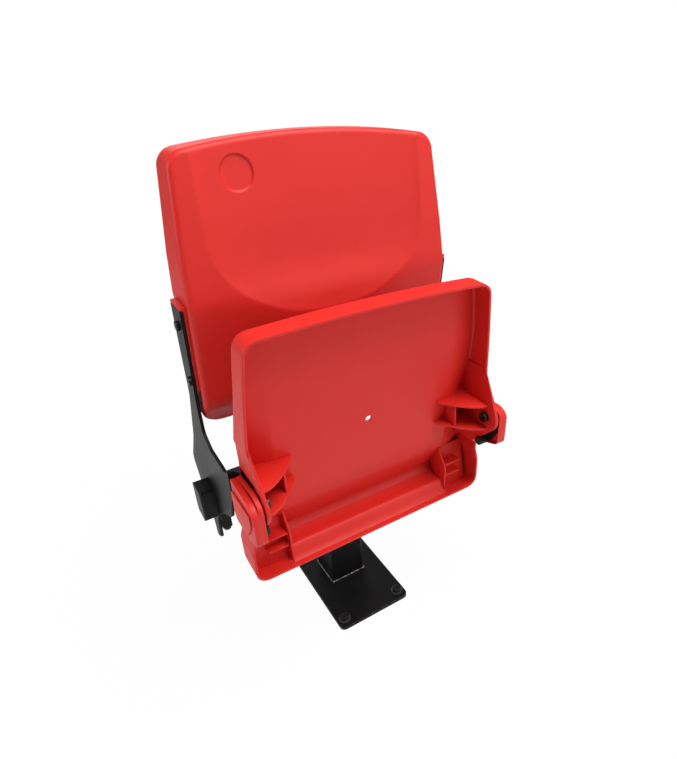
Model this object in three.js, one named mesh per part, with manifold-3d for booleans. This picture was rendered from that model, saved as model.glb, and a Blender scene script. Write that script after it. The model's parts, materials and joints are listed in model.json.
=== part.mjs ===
// Tip-up stadium seat on one floor post, in its stowed pose.
// Millimetres. X is across the seat, the sitter faces -Y, Z is up.
// The origin is the middle of the base plate's underside.

import * as THREE from 'three';
import { mergeVertices } from 'three/addons/utils/BufferGeometryUtils.js';
import Module from 'manifold-3d';

// Clearances and cuts
const fitGap = 0.3;
const overrun = 30;

// Base plate, anchors and post
const plateWidth = 152;
const plateDepth = 300;
const plateThick = 7;
const plateCorner = 12;
const anchorSideEdge = 15.6;
const anchorEndEdge = 19.4;
const anchorShank = 5;
const anchorHead = 8.5;
const anchorHeadHigh = 7;
const anchorSocket = 4;
const anchorSocketDeep = 4;
const washerRadius = 12;
const washerThick = 2.5;
const postSide = 75;
const postWall = 4;
const postCorner = 8;

// Cross beam: every height above is a step up from it, and every width a step in from its end
const beamBottom = 269.5;
const beamHigh = 60;
const beamDeep = 42;
const beamHalf = 248;
const beamWall = 4;
const beamCorner = 5;
const beamTop = beamBottom + beamHigh;
const capThick = 3;
const capPlugLong = 14;
const capPlugWall = 3;

// Hinge
const pivotY = -212;
const pivotRise = 87.5;
const pivotZ = beamTop + pivotRise;
const pivotShank = 5;
const pivotHead = 8.8;
const pivotHeadHigh = 6.5;
const pivotSocket = 3.2;
const pivotSocketDeep = 3.5;
const nutRadius = 9.4;
const nutThick = 8;
const bushWall = 3;
const bushFlange = 11;
const bushFlangeThick = 1.6;
const springOuter = 13.2;
const springLong = 6;
const stopPinRadius = 2.8;
const stopPinAway = 17;
const stopPinAngle = 100;
const tipAngle = 80;
const spareAngle = 2;

// Side brackets, cut from plate and cranked inward at the hinge
const beamOverhang = 22.5;
const bracketThick = 5;
const crankStep = 12;
const bracketOuter = beamHalf - beamOverhang;
const bracketInner = bracketOuter - bracketThick;
const armInner = bracketInner - crankStep;
const armOuter = armInner + bracketThick;
const crankBack = 65;
const crankFront = pivotY + crankBack;
const crankRear = crankFront + bracketThick;
const armFootDrop = 54;
const armFoot = pivotZ - armFootDrop;
const armNose = 24;
const armRound = 15;
const armEdgeRise = 12;
const armEdgeZ = pivotZ + armEdgeRise;
const armTopRise = 23;
const armTop = pivotZ + armTopRise;
const waistFront = -28;
const waistRear = 8;
const waistRise = 67;
const waistZ = pivotZ + waistRise;
const hipRear = 58;
const hipDrop = 21;
const heelRear = 110;
const heelDrop = 4.5;
const heelZ = beamTop - heelDrop;
const bellyBack = 100;
const bellyRise = 4.5;
const tabFront = 9;
const tabRear = 40;
const tabTopDrop = 34;
const tabTop = beamBottom - tabTopDrop;
const tabDrop = 89;
const tabBottom = beamBottom - tabDrop;
const stripFront = -57;
const stripRear = -7;
const stripRise = 238;
const stripTop = pivotZ + stripRise;

// Saddles under the beam
const saddleWide = 17;
const saddleFront = 4;
const saddleDeep = 32;
const saddleHigh = 53;
const saddleRound = 5;
const saddleScrew = 4;
const saddleScrewHead = 7;
const saddleScrewY = 12;
const saddleHeadHigh = 5;
const saddleOuter = bracketInner - fitGap;
const saddleInner = saddleOuter - saddleWide;
const saddleMiddle = (saddleOuter + saddleInner) / 2;
const saddleTop = beamBottom - fitGap;

// Stow bumpers and hinge covers
const bumperRadius = 8;
const bumperNeck = 4;
const bumperHead = 13;
const bumperBack = 11.5;
const bumperY = pivotY + bumperBack;
const bumperDrop = 55;
const bumperZ = pivotZ - bumperDrop;
const coverThick = 11;
const coverWall = 2.5;
const coverBandThick = 3;
const coverUp = 17.5;
const coverDown = 60;
const coverInner = armOuter + fitGap;
const coverOuter = coverInner + coverThick;

// Seat pan widths, stowed: its underside faces forward
const lugGap = 2.5;
const lugThick = 7;
const kinkFlare = 2;
const seatTaper = 14.5;
const seatBow = 1.5;
const tailGap = 1;
const tailNeckIn = 6.5;
const seatNeckHalf = armInner - lugGap;
const lugInner = seatNeckHalf - lugThick;
const seatKinkHalf = seatNeckHalf + kinkFlare;
const seatTopHalf = seatKinkHalf - seatTaper;
const tailHalf = bracketInner - tailGap;
const tailNeckHalf = tailHalf - tailNeckIn;

// Seat pan heights, from the hinge
const seatRise = 244.5;
const seatDrop = 176.5;
const seatCrown = 6;
const kinkRise = 79;
const shoulderDrop = 68;
const neckDrop = 91;
const tailFullDrop = 117;
const seatTop = pivotZ + seatRise;
const seatBottom = pivotZ - seatDrop;
const seatKinkZ = pivotZ + kinkRise;
const tailShoulderZ = pivotZ - shoulderDrop;
const tailNeckZ = pivotZ - neckDrop;
const tailFullZ = pivotZ - tailFullDrop;

// Seat pan depths, from the hinge
const sittingBack = 40;
const rimTopAhead = 2.7;
const rimKinkBack = 11.2;
const rimTailBack = 36;
const sittingY = pivotY + sittingBack;
const rimTopY = pivotY - rimTopAhead;
const rimKinkY = pivotY + rimKinkBack;
const rimTailY = pivotY + rimTailBack;

// Seat pan form
const seatDraftShare = 0.04;
const draftRise = 28;
const draftZ = pivotZ + draftRise;
const draftFade = 60;
const seatCorner = 18;
const tailCorner = 20;
const seatWall = 4;
const floorThick = 4.5;
const turnUpDeep = 68;
const sideDeep = 58;
const foldIn = 35.5;
const foldHalf = seatTopHalf - foldIn;
const turnUpRise = 110;
const lugRound = 27;
const lugEase = 18;
const bushRadius = pivotShank + fitGap + bushWall;

// Seat pan webs, ribs, tail roll and drain
const webThick = 3.5;
const webReach = 69;
const webSweepShare = 1.9;
const webAhead = 5;
const webTipBack = 51;
const webFrontY = pivotY - webAhead;
const webTipY = pivotY + webTipBack;
const upperWebRise = 22;
const upperWebClimb = 3;
const lowerWebDrop = 23;
const lowerWebClimb = 7;
const crossRibIn = 50;
const crossRibHalf = seatNeckHalf - crossRibIn;
const crossRibBack = 10;
const tailPocketWide = 59.5;
const tailRibHalf = tailNeckHalf - tailPocketWide;
const tailRibDrop = 86;
const tailRibTopZ = pivotZ - tailRibDrop;
const tailRibBack = 48;
const tailRibTopBack = 71;
const tailRibCurve = 40;
const ledgeLowDrop = 143;
const ledgeHighDrop = 119;
const ledgeBack = 46;
const pocketBack = 62;
const pocketTopDrop = 92;
const rollRise = 26;
const rollRidgeBack = 63;
const rollFootBack = 52;
const rollRidgeRound = 10;
const rollValleyBack = 101;
const rollValleyRound = 16;
const rollTopZ = seatBottom + rollRise;
const rollRidgeY = pivotY + rollRidgeBack;
const rollFootY = pivotY + rollFootBack;
const rollValleyY = pivotY + rollValleyBack;
const drainRadius = 4;
const drainRise = 42;
const drainZ = pivotZ + drainRise;

// Backrest shell widths and heights
const stripGap = 4.3;
const backMidIn = 3.4;
const backTaper = 11.8;
const backLowHalf = bracketInner - stripGap;
const backMidHalf = backLowHalf - backMidIn;
const backTopHalf = backMidHalf - backTaper;
const backRise = 451;
const backCrown = 15.5;
const backFootRise = 23.5;
const backMidDrop = 148;
const backLowDrop = 218;
const backDeepDrop = 213;
const backFootHigh = 51;
const backTop = pivotZ + backRise;
const backBottom = pivotZ + backFootRise;
const backMidZ = backTop - backMidDrop;
const backLowZ = backTop - backLowDrop;
const backDeepZ = backTop - backDeepDrop;
const backFootZ = backBottom + backFootHigh;

// Backrest shell depths and form
const backDraftShare = 0.02;
const backDraftFade = 15;
const backCorner = 20;
const backLowCorner = 34;
const backWall = 4;
const backTopFront = -48;
const backDeepFront = -69.5;
const backLowFront = 6;
const backFootFront = -42;
const backTopRear = 0;
const backMidRear = 10;
const shieldMargin = 28;
const shieldHalf = backTopHalf - shieldMargin;
const shieldDrop = 95;
const shieldScoop = 14;
const bellyOut = 17;
const bellyMargin = 35.5;
const bellyEase = 43;
const bellyHalf = shieldHalf - bellyMargin;
const numberRadius = 24;
const numberDeep = 1.2;
const numberIn = 59.5;
const numberDrop = 47;

// Backrest fixings
const padHigh = 133;
const padRoof = 5;
const padSink = 8;
const backScrew = 4;
const backScrewHead = 7.5;
const backScrewHigh = 4.8;
const backScrewSocket = 2.6;
const backScrewSocketDeep = 2.8;
const backScrewY = -33;
const upperScrewDrop = 27;
const lowerScrewDrop = 115;
const backNutRadius = 7.4;
const backNutThick = 6.5;
const backScrewHighZ = stripTop - upperScrewDrop;
const backScrewLowZ = stripTop - lowerScrewDrop;

// Smoothness
const rodSides = 16;
const cornerSteps = 4;
const leanSteps = 4;
const hexSides = 6;

// Colours and finishes
const steel = { color: 0x1b1b1d, roughness: 0.5, metalness: 0.3 };
const red = { color: 0xd02a26, roughness: 0.42, metalness: 0 };
const screwBlack = { color: 0x121214, roughness: 0.35, metalness: 0.6 };
const capBlack = { color: 0x151515, roughness: 0.65, metalness: 0 };
const zinc = { color: 0xa7aaad, roughness: 0.35, metalness: 0.9 };
const paleNylon = { color: 0xd8d4c8, roughness: 0.5, metalness: 0 };
const rubber = { color: 0x0d0d0e, roughness: 0.8, metalness: 0 };

const wasm = await Module();
wasm.setup();

// Any closed geometry as a solid that can be joined to others or cut by them
function solid(geometry) {
  const bare = geometry.clone();
  bare.deleteAttribute('normal');
  bare.deleteAttribute('uv');
  const merged = mergeVertices(bare);
  return new wasm.Manifold(new wasm.Mesh({
    numProp: 3,
    vertProperties: new Float32Array(merged.attributes.position.array),
    triVerts: new Uint32Array(merged.index.array),
  }));
}

// A finished solid as a named mesh
function piece(name, shape, look) {
  const { vertProperties, triVerts } = shape.getMesh();
  const geometry = new THREE.BufferGeometry();
  geometry.setAttribute('position', new THREE.BufferAttribute(new Float32Array(vertProperties), 3));
  geometry.setIndex(new THREE.BufferAttribute(new Uint32Array(triVerts), 1));
  geometry.computeVertexNormals();
  const mesh = new THREE.Mesh(geometry, new THREE.MeshStandardMaterial(look));
  mesh.name = name;
  return mesh;
}

// The same range on either side of the middle, smaller end first
function onSide(side, from, to) {
  return [side * from, side * to].sort((a, b) => a - b);
}

// A closed outline whose corners are [across, up, radius]
function outline(corners) {
  const path = new THREE.Shape();
  corners.forEach(([x, y, radius = 0], index) => {
    const corner = new THREE.Vector2(x, y);
    const [beforeX, beforeY] = corners.at(index - 1);
    const [afterX, afterY] = corners[(index + 1) % corners.length];
    const back = new THREE.Vector2(beforeX, beforeY).sub(corner).normalize();
    const ahead = new THREE.Vector2(afterX, afterY).sub(corner).normalize();
    const half = Math.acos(THREE.MathUtils.clamp(back.dot(ahead), -1, 1)) / 2;
    const reach = radius / Math.tan(half);
    const start = corner.clone().addScaledVector(back, reach);
    const end = corner.clone().addScaledVector(ahead, reach);
    if (index === 0) path.moveTo(start.x, start.y);
    else path.lineTo(start.x, start.y);
    if (radius > 0) path.quadraticCurveTo(corner.x, corner.y, end.x, end.y);
  });
  path.closePath();
  return path;
}

// Outlines pushed along one axis: (y, z) along X, (x, z) along Y, (x, y) along Z
function prism(shape, [from, to], axes, steps = 1) {
  const settings = { depth: to - from, steps, bevelEnabled: false, curveSegments: cornerSteps };
  const geometry = new THREE.ExtrudeGeometry(shape, settings);
  geometry.applyMatrix4(new THREE.Matrix4().makeBasis(...axes));
  return geometry;
}
const alongX = new THREE.Vector3(1, 0, 0);
const alongY = new THREE.Vector3(0, 1, 0);
const alongZ = new THREE.Vector3(0, 0, 1);
const againstY = new THREE.Vector3(0, -1, 0);

function prismX(shape, range) {
  return solid(prism(shape, range, [alongY, alongZ, alongX]).translate(range[0], 0, 0));
}

function prismY(shape, range) {
  return solid(prism(shape, range, [alongX, alongZ, againstY]).translate(0, range[1], 0));
}

// The same, with its points leaning outward and up by lean(x, z) for each unit behind a plane
function leaningPrismY(shape, range, planeY, lean) {
  const geometry = prism(shape, range, [alongX, alongZ, againstY], leanSteps).translate(0, range[1], 0);
  const points = geometry.attributes.position;
  for (let index = 0; index < points.count; index += 1) {
    const [x, y, z] = [points.getX(index), points.getY(index), points.getZ(index)];
    const [outward, upward] = lean(x, z);
    points.setXYZ(index, x + outward * (y - planeY), y, z + upward * (y - planeY));
  }
  return solid(geometry);
}

function prismZ(shape, range) {
  return solid(prism(shape, range, [alongX, alongY, alongZ]).translate(0, 0, range[0]));
}

function block([x0, x1], [y0, y1], [z0, z1]) {
  const box = new THREE.BoxGeometry(x1 - x0, y1 - y0, z1 - z0);
  return solid(box.translate((x0 + x1) / 2, (y0 + y1) / 2, (z0 + z1) / 2));
}

// Round bars along an axis, also used for the holes they pass through
function rodX(radius, [x0, x1], y, z, sides = rodSides) {
  const rod = new THREE.CylinderGeometry(radius, radius, x1 - x0, sides).rotateZ(-Math.PI / 2);
  return solid(rod.translate((x0 + x1) / 2, y, z));
}

function rodY(radius, [y0, y1], x, z, sides = rodSides) {
  const rod = new THREE.CylinderGeometry(radius, radius, y1 - y0, sides);
  return solid(rod.translate(x, (y0 + y1) / 2, z));
}

function rodZ(radius, [z0, z1], x, y, sides = rodSides) {
  const rod = new THREE.CylinderGeometry(radius, radius, z1 - z0, sides).rotateX(Math.PI / 2);
  return solid(rod.translate(x, y, (z0 + z1) / 2));
}

// A box whose points are moved by a formula of their shares across, deep and up, each 0 to 1
function formed(place, [acrossSteps, deepSteps, upSteps]) {
  const box = new THREE.BoxGeometry(1, 1, 1, acrossSteps, deepSteps, upSteps).translate(0.5, 0.5, 0.5);
  const points = box.attributes.position;
  for (let index = 0; index < points.count; index += 1) {
    const [x, y, z] = place(points.getX(index), points.getY(index), points.getZ(index));
    points.setXYZ(index, x, y, z);
  }
  return solid(box);
}

// A value read off straight lines between [share, value] points
function along(points, at) {
  const next = points.findIndex(([share]) => share >= at);
  if (next === 0) return points[0][1];
  if (next < 0) return points.at(-1)[1];
  const [shareA, valueA] = points[next - 1];
  const [shareB, valueB] = points[next];
  return THREE.MathUtils.mapLinear(at, shareA, shareB, valueA, valueB);
}

// An eased step from 0 to 1
function smooth(value) {
  return THREE.MathUtils.smoothstep(value, 0, 1);
}

function rectangle(halfWide, halfDeep, corner, [x, y] = [0, 0]) {
  return outline([
    [x - halfWide, y - halfDeep, corner],
    [x + halfWide, y - halfDeep, corner],
    [x + halfWide, y + halfDeep, corner],
    [x - halfWide, y + halfDeep, corner],
  ]);
}

// Floor fixing

const anchorSides = [[-1, -1], [1, -1], [1, 1], [-1, 1]];

function anchorPlace(side, end) {
  return [side * (plateWidth / 2 - anchorSideEdge), end * (plateDepth / 2 - anchorEndEdge)];
}

function basePlate() {
  let plate = prismZ(rectangle(plateWidth / 2, plateDepth / 2, plateCorner), [0, plateThick]);
  for (const [side, end] of anchorSides) {
    const [x, y] = anchorPlace(side, end);
    plate = plate.subtract(rodZ(anchorShank + fitGap, [-overrun, overrun], x, y));
  }
  return plate;
}

function anchorWasher(x, y) {
  const ring = rodZ(washerRadius, [plateThick, plateThick + washerThick], x, y);
  return ring.subtract(rodZ(anchorShank + fitGap, [-overrun, overrun], x, y));
}

// The anchor's shank stops just above the plate's underside, because the rest is in the floor
function anchorBolt(x, y) {
  const seat = plateThick + washerThick;
  const top = seat + anchorHeadHigh;
  const shank = rodZ(anchorShank, [fitGap, top - anchorSocketDeep], x, y);
  const head = rodZ(anchorHead, [seat, top], x, y);
  return shank.add(head).subtract(rodZ(anchorSocket, [top - anchorSocketDeep, top + overrun], x, y, hexSides));
}

function postTube() {
  const outer = prismZ(rectangle(postSide / 2, postSide / 2, postCorner), [plateThick, beamBottom]);
  const inside = postSide / 2 - postWall;
  const bore = rectangle(inside, inside, postCorner - postWall);
  return outer.subtract(prismZ(bore, [-overrun, beamBottom + overrun]));
}

// Cross beam

const beamMiddleZ = beamBottom + beamHigh / 2;

function beamSection(inset, corner, range) {
  return prismX(rectangle(beamDeep / 2 - inset, beamHigh / 2 - inset, corner, [0, beamMiddleZ]), range);
}

function saddleScrewHole(side) {
  return rodZ(saddleScrew + fitGap, [0, beamBottom + beamWall * 2], side * saddleMiddle, saddleScrewY);
}

function crossBeam() {
  let beam = beamSection(0, beamCorner, [-beamHalf, beamHalf]);
  beam = beam.subtract(beamSection(beamWall, beamCorner - beamWall, [-beamHalf - overrun, beamHalf + overrun]));
  return beam.subtract(saddleScrewHole(1)).subtract(saddleScrewHole(-1));
}

function beamCap(side) {
  const cap = beamSection(0, beamCorner, onSide(side, beamHalf, beamHalf + capThick));
  const plugOutside = beamSection(beamWall + fitGap, 0, onSide(side, beamHalf - capPlugLong, beamHalf + capThick / 2));
  const plugInside = beamSection(beamWall + capPlugWall, 0, onSide(side, beamHalf - overrun, beamHalf));
  return cap.add(plugOutside.subtract(plugInside));
}

// The saddle sits under the beam against the bracket's tab, and one screw from below holds it
function beamSaddle(side) {
  const middle = [saddleFront + saddleDeep / 2, saddleTop - saddleHigh / 2];
  const section = rectangle(saddleDeep / 2, saddleHigh / 2, saddleRound, middle);
  return prismX(section, onSide(side, saddleInner, saddleOuter)).subtract(saddleScrewHole(side));
}

function saddleScrewPiece(side) {
  const x = side * saddleMiddle;
  const seat = saddleTop - saddleHigh;
  const shank = rodZ(saddleScrew, [seat, beamBottom + beamWall], x, saddleScrewY);
  return shank.add(rodZ(saddleScrewHead, [seat - saddleHeadHigh, seat], x, saddleScrewY, hexSides));
}

// Side brackets

function bracketSideOutline() {
  return outline([
    [stripFront, stripTop, bracketThick],
    [waistFront, waistZ, armRound],
    [waistFront, armEdgeZ + armRound, armRound],
    [stripFront, armEdgeZ, armRound],
    [crankRear + armRound, armEdgeZ, armRound],
    [crankRear, armTop, bracketThick / 2],
    [pivotY - bumperRadius, armTop + coverWall, armRound],
    [pivotY - armNose, pivotZ + bracketThick, armNose / 4],
    [pivotY - armNose, pivotZ - armNose, armNose / 2],
    [pivotY - armNose / 4, armFoot, armNose / 4],
    [bumperY + armNose, armFoot, armNose / 4],
    [crankRear, pivotZ - armNose, armNose / 4],
    [pivotY + bellyBack, beamTop + bellyRise, armRound],
    [tabFront - beamHigh, beamTop - beamHigh / 2, armRound],
    [0, beamBottom - armRound, armRound],
    [tabFront, tabTop],
    [tabFront + bracketThick, tabBottom + armRound],
    [tabRear, tabBottom, bracketThick],
    [tabRear + bracketThick, tabTop - armNose, armRound],
    [heelRear, heelZ - armRound, armRound],
    [heelRear, heelZ, armRound],
    [hipRear, pivotZ - hipDrop, armRound],
    [waistRear, waistZ + armRound, armRound],
    [stripRear, stripTop, bracketThick / 2],
  ]);
}

// Seen from above, the plate steps inward at the crank and runs on to the hinge
function bracketPlan(side) {
  return outline([
    [side * bracketInner, crankRear],
    [side * armInner, crankRear],
    [side * armInner, pivotY - overrun],
    [side * armOuter, pivotY - overrun],
    [side * armOuter, crankFront],
    [side * bracketOuter, crankFront],
    [side * bracketOuter, heelRear + overrun],
    [side * bracketInner, heelRear + overrun],
  ]);
}

// A point of the stop pin's path, its angle measured up from the rearward direction
function aroundPivot(degrees, away) {
  const angle = THREE.MathUtils.degToRad(degrees);
  return [pivotY + away * Math.cos(angle), pivotZ + away * Math.sin(angle)];
}

// The curved slot that the seat's stop pin travels in
function stopSlot(range) {
  const radius = stopPinRadius + fitGap * 2;
  const path = new THREE.Shape();
  const first = THREE.MathUtils.degToRad(stopPinAngle - spareAngle);
  const last = THREE.MathUtils.degToRad(stopPinAngle + tipAngle + spareAngle);
  path.absarc(pivotY, pivotZ, stopPinAway + radius, first, last, false);
  path.absarc(pivotY, pivotZ, stopPinAway - radius, last, first, true);
  const ends = [first, last].map((angle) => {
    const [y, z] = aroundPivot(THREE.MathUtils.radToDeg(angle), stopPinAway);
    return rodX(radius, range, y, z);
  });
  return prismX(path, range).add(ends[0]).add(ends[1]);
}

function bracket(side) {
  const through = onSide(side, armInner - overrun, bracketOuter + overrun);
  const heights = [tabBottom - overrun, stripTop + overrun];
  let plate = prismX(bracketSideOutline(), onSide(side, armInner, bracketOuter));
  plate = plate.add(rodX(bumperRadius + fitGap, onSide(side, armInner, armOuter), bumperY, bumperZ));
  plate = plate.intersect(prismZ(bracketPlan(side), heights));
  plate = plate.subtract(beamSection(-fitGap, beamCorner, through));
  plate = plate.subtract(rodX(pivotShank + fitGap, through, pivotY, pivotZ));
  plate = plate.subtract(stopSlot(through));
  plate = plate.subtract(rodX(bumperNeck + fitGap, through, bumperY, bumperZ));
  for (const z of [backScrewHighZ, backScrewLowZ]) {
    plate = plate.subtract(rodX(backScrew + fitGap, through, backScrewY, z));
  }
  return plate;
}

// Hinge pieces

function pivotBolt(side) {
  const seat = lugInner - fitGap;
  const head = rodX(pivotHead, onSide(side, seat - pivotHeadHigh, seat), pivotY, pivotZ);
  const shankEnd = coverInner + nutThick;
  const shank = rodX(pivotShank, onSide(side, seat - pivotHeadHigh / 2, shankEnd), pivotY, pivotZ);
  const socketFloor = seat - pivotHeadHigh + pivotSocketDeep;
  const socket = onSide(side, seat - pivotHeadHigh - overrun, socketFloor);
  return head.add(shank).subtract(rodX(pivotSocket, socket, pivotY, pivotZ, hexSides));
}

function pivotBush(side) {
  const flangeTo = seatNeckHalf + fitGap + bushFlangeThick;
  const sleeve = rodX(bushRadius, onSide(side, lugInner, flangeTo), pivotY, pivotZ);
  const flange = rodX(bushFlange, onSide(side, seatNeckHalf + fitGap, flangeTo), pivotY, pivotZ);
  const bore = rodX(pivotShank + fitGap, onSide(side, lugInner - overrun, coverOuter), pivotY, pivotZ);
  return sleeve.add(flange).subtract(bore);
}

function pivotNut(side) {
  const range = onSide(side, coverInner, coverInner + nutThick);
  const nut = rodX(nutRadius, range, pivotY, pivotZ, hexSides);
  const bore = onSide(side, lugInner, coverOuter + overrun);
  return nut.subtract(rodX(pivotShank + fitGap / 2, bore, pivotY, pivotZ));
}

function returnSpring(side) {
  const range = onSide(side, coverInner + fitGap, coverInner + fitGap + springLong);
  const sleeve = rodX(springOuter, range, pivotY, pivotZ);
  const bore = onSide(side, lugInner, coverOuter + overrun);
  return sleeve.subtract(rodX(nutRadius + fitGap, bore, pivotY, pivotZ));
}

function stopPin(side) {
  const [y, z] = aroundPivot(stopPinAngle, stopPinAway);
  return rodX(stopPinRadius, onSide(side, lugInner, armOuter), y, z);
}

function stowBumper(side) {
  const headFrom = armInner - fitGap - bumperHead;
  const head = rodX(bumperRadius, onSide(side, headFrom, armInner - fitGap), bumperY, bumperZ);
  const neck = rodX(bumperNeck, onSide(side, headFrom + bumperRadius, armOuter), bumperY, bumperZ);
  return head.add(neck);
}

function coverOutline(inset) {
  const front = pivotY - armNose + inset;
  const rear = crankFront - fitGap - inset;
  const top = pivotZ + coverUp - inset;
  const bottom = pivotZ - coverDown + inset;
  return outline([
    [rear, top, coverWall],
    [pivotY - armNose / 2, top, armNose / 4],
    [front, pivotZ + armNose / 4, armNose / 4],
    [front + coverWall, pivotZ - armNose * 1.8, armNose / 4],
    [pivotY + armNose / 4, bottom, armNose / 4],
    [rear, bottom, armNose / 2],
  ]);
}

// The band is a second layer moulded on the lower part of the cover's outer face
function coverBand(side) {
  const range = onSide(side, coverOuter - coverWall / 2, coverOuter + coverBandThick);
  const rear = crankFront - fitGap - coverWall;
  return prismX(outline([
    [rear, pivotZ - coverWall / 2, coverWall],
    [pivotY - armNose * 0.75, pivotZ + coverWall * 2, armNose / 4],
    [pivotY - armNose * 0.75, pivotZ - armNose / 2, armNose / 4],
    [pivotY + armNose / 4, pivotZ - coverDown + coverWall * 4, armNose / 4],
    [rear, pivotZ - coverDown + coverWall * 4, armNose / 2],
  ]), range);
}

function hingeCover(side) {
  const shell = prismX(coverOutline(0), onSide(side, coverInner, coverOuter)).add(coverBand(side));
  const hollow = onSide(side, coverInner - overrun, coverOuter - coverWall);
  return shell.subtract(prismX(coverOutline(coverWall), hollow));
}

// Seat pan

// Half the pan's width above the hinge, with a slight outward bow
function seatHalfAt(z) {
  const share = (seatTop - seatCrown - z) / (seatTop - seatCrown - seatKinkZ);
  const bow = seatBow * 4 * share * (1 - share);
  return THREE.MathUtils.lerp(seatTopHalf, seatKinkHalf, share) + bow;
}

// The pan seen from the front, drawn in by an inset for the inside of its walls
function seatFrontOutline(inset) {
  const rightHalf = [
    [tailHalf, seatBottom, tailCorner],
    [tailHalf, tailFullZ],
    [tailNeckHalf, tailNeckZ],
    [tailNeckHalf, tailShoulderZ],
    [seatNeckHalf, tailShoulderZ],
  ];
  const draftSteps = 3;
  for (let step = 0; step <= draftSteps; step += 1) {
    rightHalf.push([seatNeckHalf, THREE.MathUtils.lerp(draftZ, seatKinkZ - seatWall, step / draftSteps)]);
  }
  rightHalf.push([seatKinkHalf, seatKinkZ]);
  const bowSteps = 4;
  for (let step = 1; step <= bowSteps; step += 1) {
    const z = THREE.MathUtils.lerp(seatKinkZ, seatTop - seatCrown, step / bowSteps);
    rightHalf.push([seatHalfAt(z), z, step === bowSteps ? seatCorner : 0]);
  }
  const crownSteps = 3;
  for (let step = 1; step < crownSteps; step += 1) {
    const x = seatTopHalf * (1 - step / crownSteps);
    rightHalf.push([x, seatTop - seatCrown * (x / seatTopHalf) ** 2]);
  }
  rightHalf.push([0, seatTop]);
  const middleZ = (seatTop + seatBottom) / 2;
  const drawIn = ([x, z, radius = 0]) => {
    const level = Math.abs(z - tailShoulderZ) < seatWall ? -inset : 0;
    const top = z > seatTop - seatCrown * 2 ? inset : 0;
    const bottom = z < seatBottom + seatWall ? -inset : 0;
    const low = level && z < middleZ ? level : -top - bottom;
    return [x === 0 ? 0 : x - inset, z + low, radius];
  };
  const right = rightHalf.map(drawIn);
  const left = right.slice(0, -1).reverse().map(([x, z, radius]) => [-x, z, radius]);
  return outline([...right, ...left]);
}

// Above the hinge the pan's walls open out toward the sitting side, so that it leaves its mould
function seatLean(x, z) {
  const share = seatDraftShare * smooth((z - draftZ) / draftFade);
  return [share * x / seatTopHalf, share * (z - seatKinkZ) / (seatTop - seatKinkZ)];
}

// How far the floor lies behind its flat part, as shares of the turned-up rear edge's depth, up the pan
const floorShares = [
  [0, 0.26], [0.011, 0.41], [0.046, 0.71], [0.087, 0.97], [0.158, 0.75], [0.213, 0.51], [0.284, 0.4],
  [0.379, 0.32], [0.479, 0.24], [0.557, 0.19], [0.652, 0.12], [0.795, 0.03], [0.9, 0], [1, 0],
];
// The same where the floor meets the side walls, as shares of the sides' depth
const sideShares = [
  [0, 0.82], [0.046, 0.9], [0.087, 0.98], [0.14, 1], [0.213, 0.96], [0.258, 0.87],
  [0.419, 0.76], [0.557, 0.53], [0.652, 0.31], [0.795, 0.1], [1, 0],
];

function wallHalfAt(z) {
  if (z > seatKinkZ) return seatHalfAt(Math.min(z, seatTop - seatCrown));
  return z > tailShoulderZ ? seatNeckHalf : tailHalf;
}

// The sitting side: a flat floor with a turned-up rear edge, folded up towards the side walls
function sittingSurface(x, z) {
  const up = (z - seatBottom) / (seatTop - seatBottom);
  const folded = THREE.MathUtils.clamp((Math.abs(x) - foldHalf) / (wallHalfAt(z) - foldHalf), 0, 1);
  return sittingY + THREE.MathUtils.lerp(turnUpDeep * along(floorShares, up), sideDeep * along(sideShares, up), folded);
}

// Everything in front of the sitting surface, or of the floor's underside at the given thickness
function inFrontOfFloor(thickness) {
  const steps = [10, 1, 26];
  const edge = tailHalf + overrun;
  const columns = [[0, -edge], [0.3, -foldHalf], [0.7, foldHalf], [1, edge]];
  const rows = [[0, seatBottom - overrun], [0.5, seatBottom + turnUpRise], [1, seatTop + overrun]];
  return formed((across, deep, up) => {
    const x = along(columns, across);
    const z = along(rows, up);
    const rear = sittingSurface(x, z) - thickness;
    return [x, THREE.MathUtils.lerp(pivotY - lugRound - overrun, rear, deep), z];
  }, steps);
}

// The pan seen from the side: the front edge of its walls, with the lug's bulge at the hinge
function seatSideOutline() {
  const behind = sittingY + turnUpDeep + overrun;
  return outline([
    [behind, seatBottom - overrun],
    [rimTailY, seatBottom - overrun],
    [rimTailY, tailShoulderZ, seatWall],
    [pivotY + seatWall, pivotZ - lugRound - seatWall, lugEase],
    [pivotY - lugRound, pivotZ - lugRound * 0.8, lugEase],
    [pivotY - lugRound, pivotZ + lugRound * 0.9, lugEase],
    [pivotY + seatWall, seatKinkZ - lugRound, lugEase],
    [rimKinkY, seatKinkZ + seatWall],
    [rimTopY, seatTop],
    [rimTopY - seatWall, seatTop + overrun],
    [behind, seatTop + overrun],
  ]);
}

function seatLug(side) {
  const plate = prismX(outline([
    [sittingY + overrun * 2, seatKinkZ],
    [sittingY + overrun * 2, tailShoulderZ],
    [pivotY - lugRound - overrun, tailShoulderZ],
    [pivotY - lugRound - overrun, seatKinkZ],
  ]), onSide(side, lugInner, seatNeckHalf));
  return plate.intersect(prismX(seatSideOutline(), onSide(side, lugInner, seatNeckHalf)));
}

// How far forward a web's edge lies, at a share of the way from the lug to its tip on the floor
function webEdge(share) {
  return THREE.MathUtils.lerp(webFrontY, webTipY, share ** webSweepShare);
}

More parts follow.
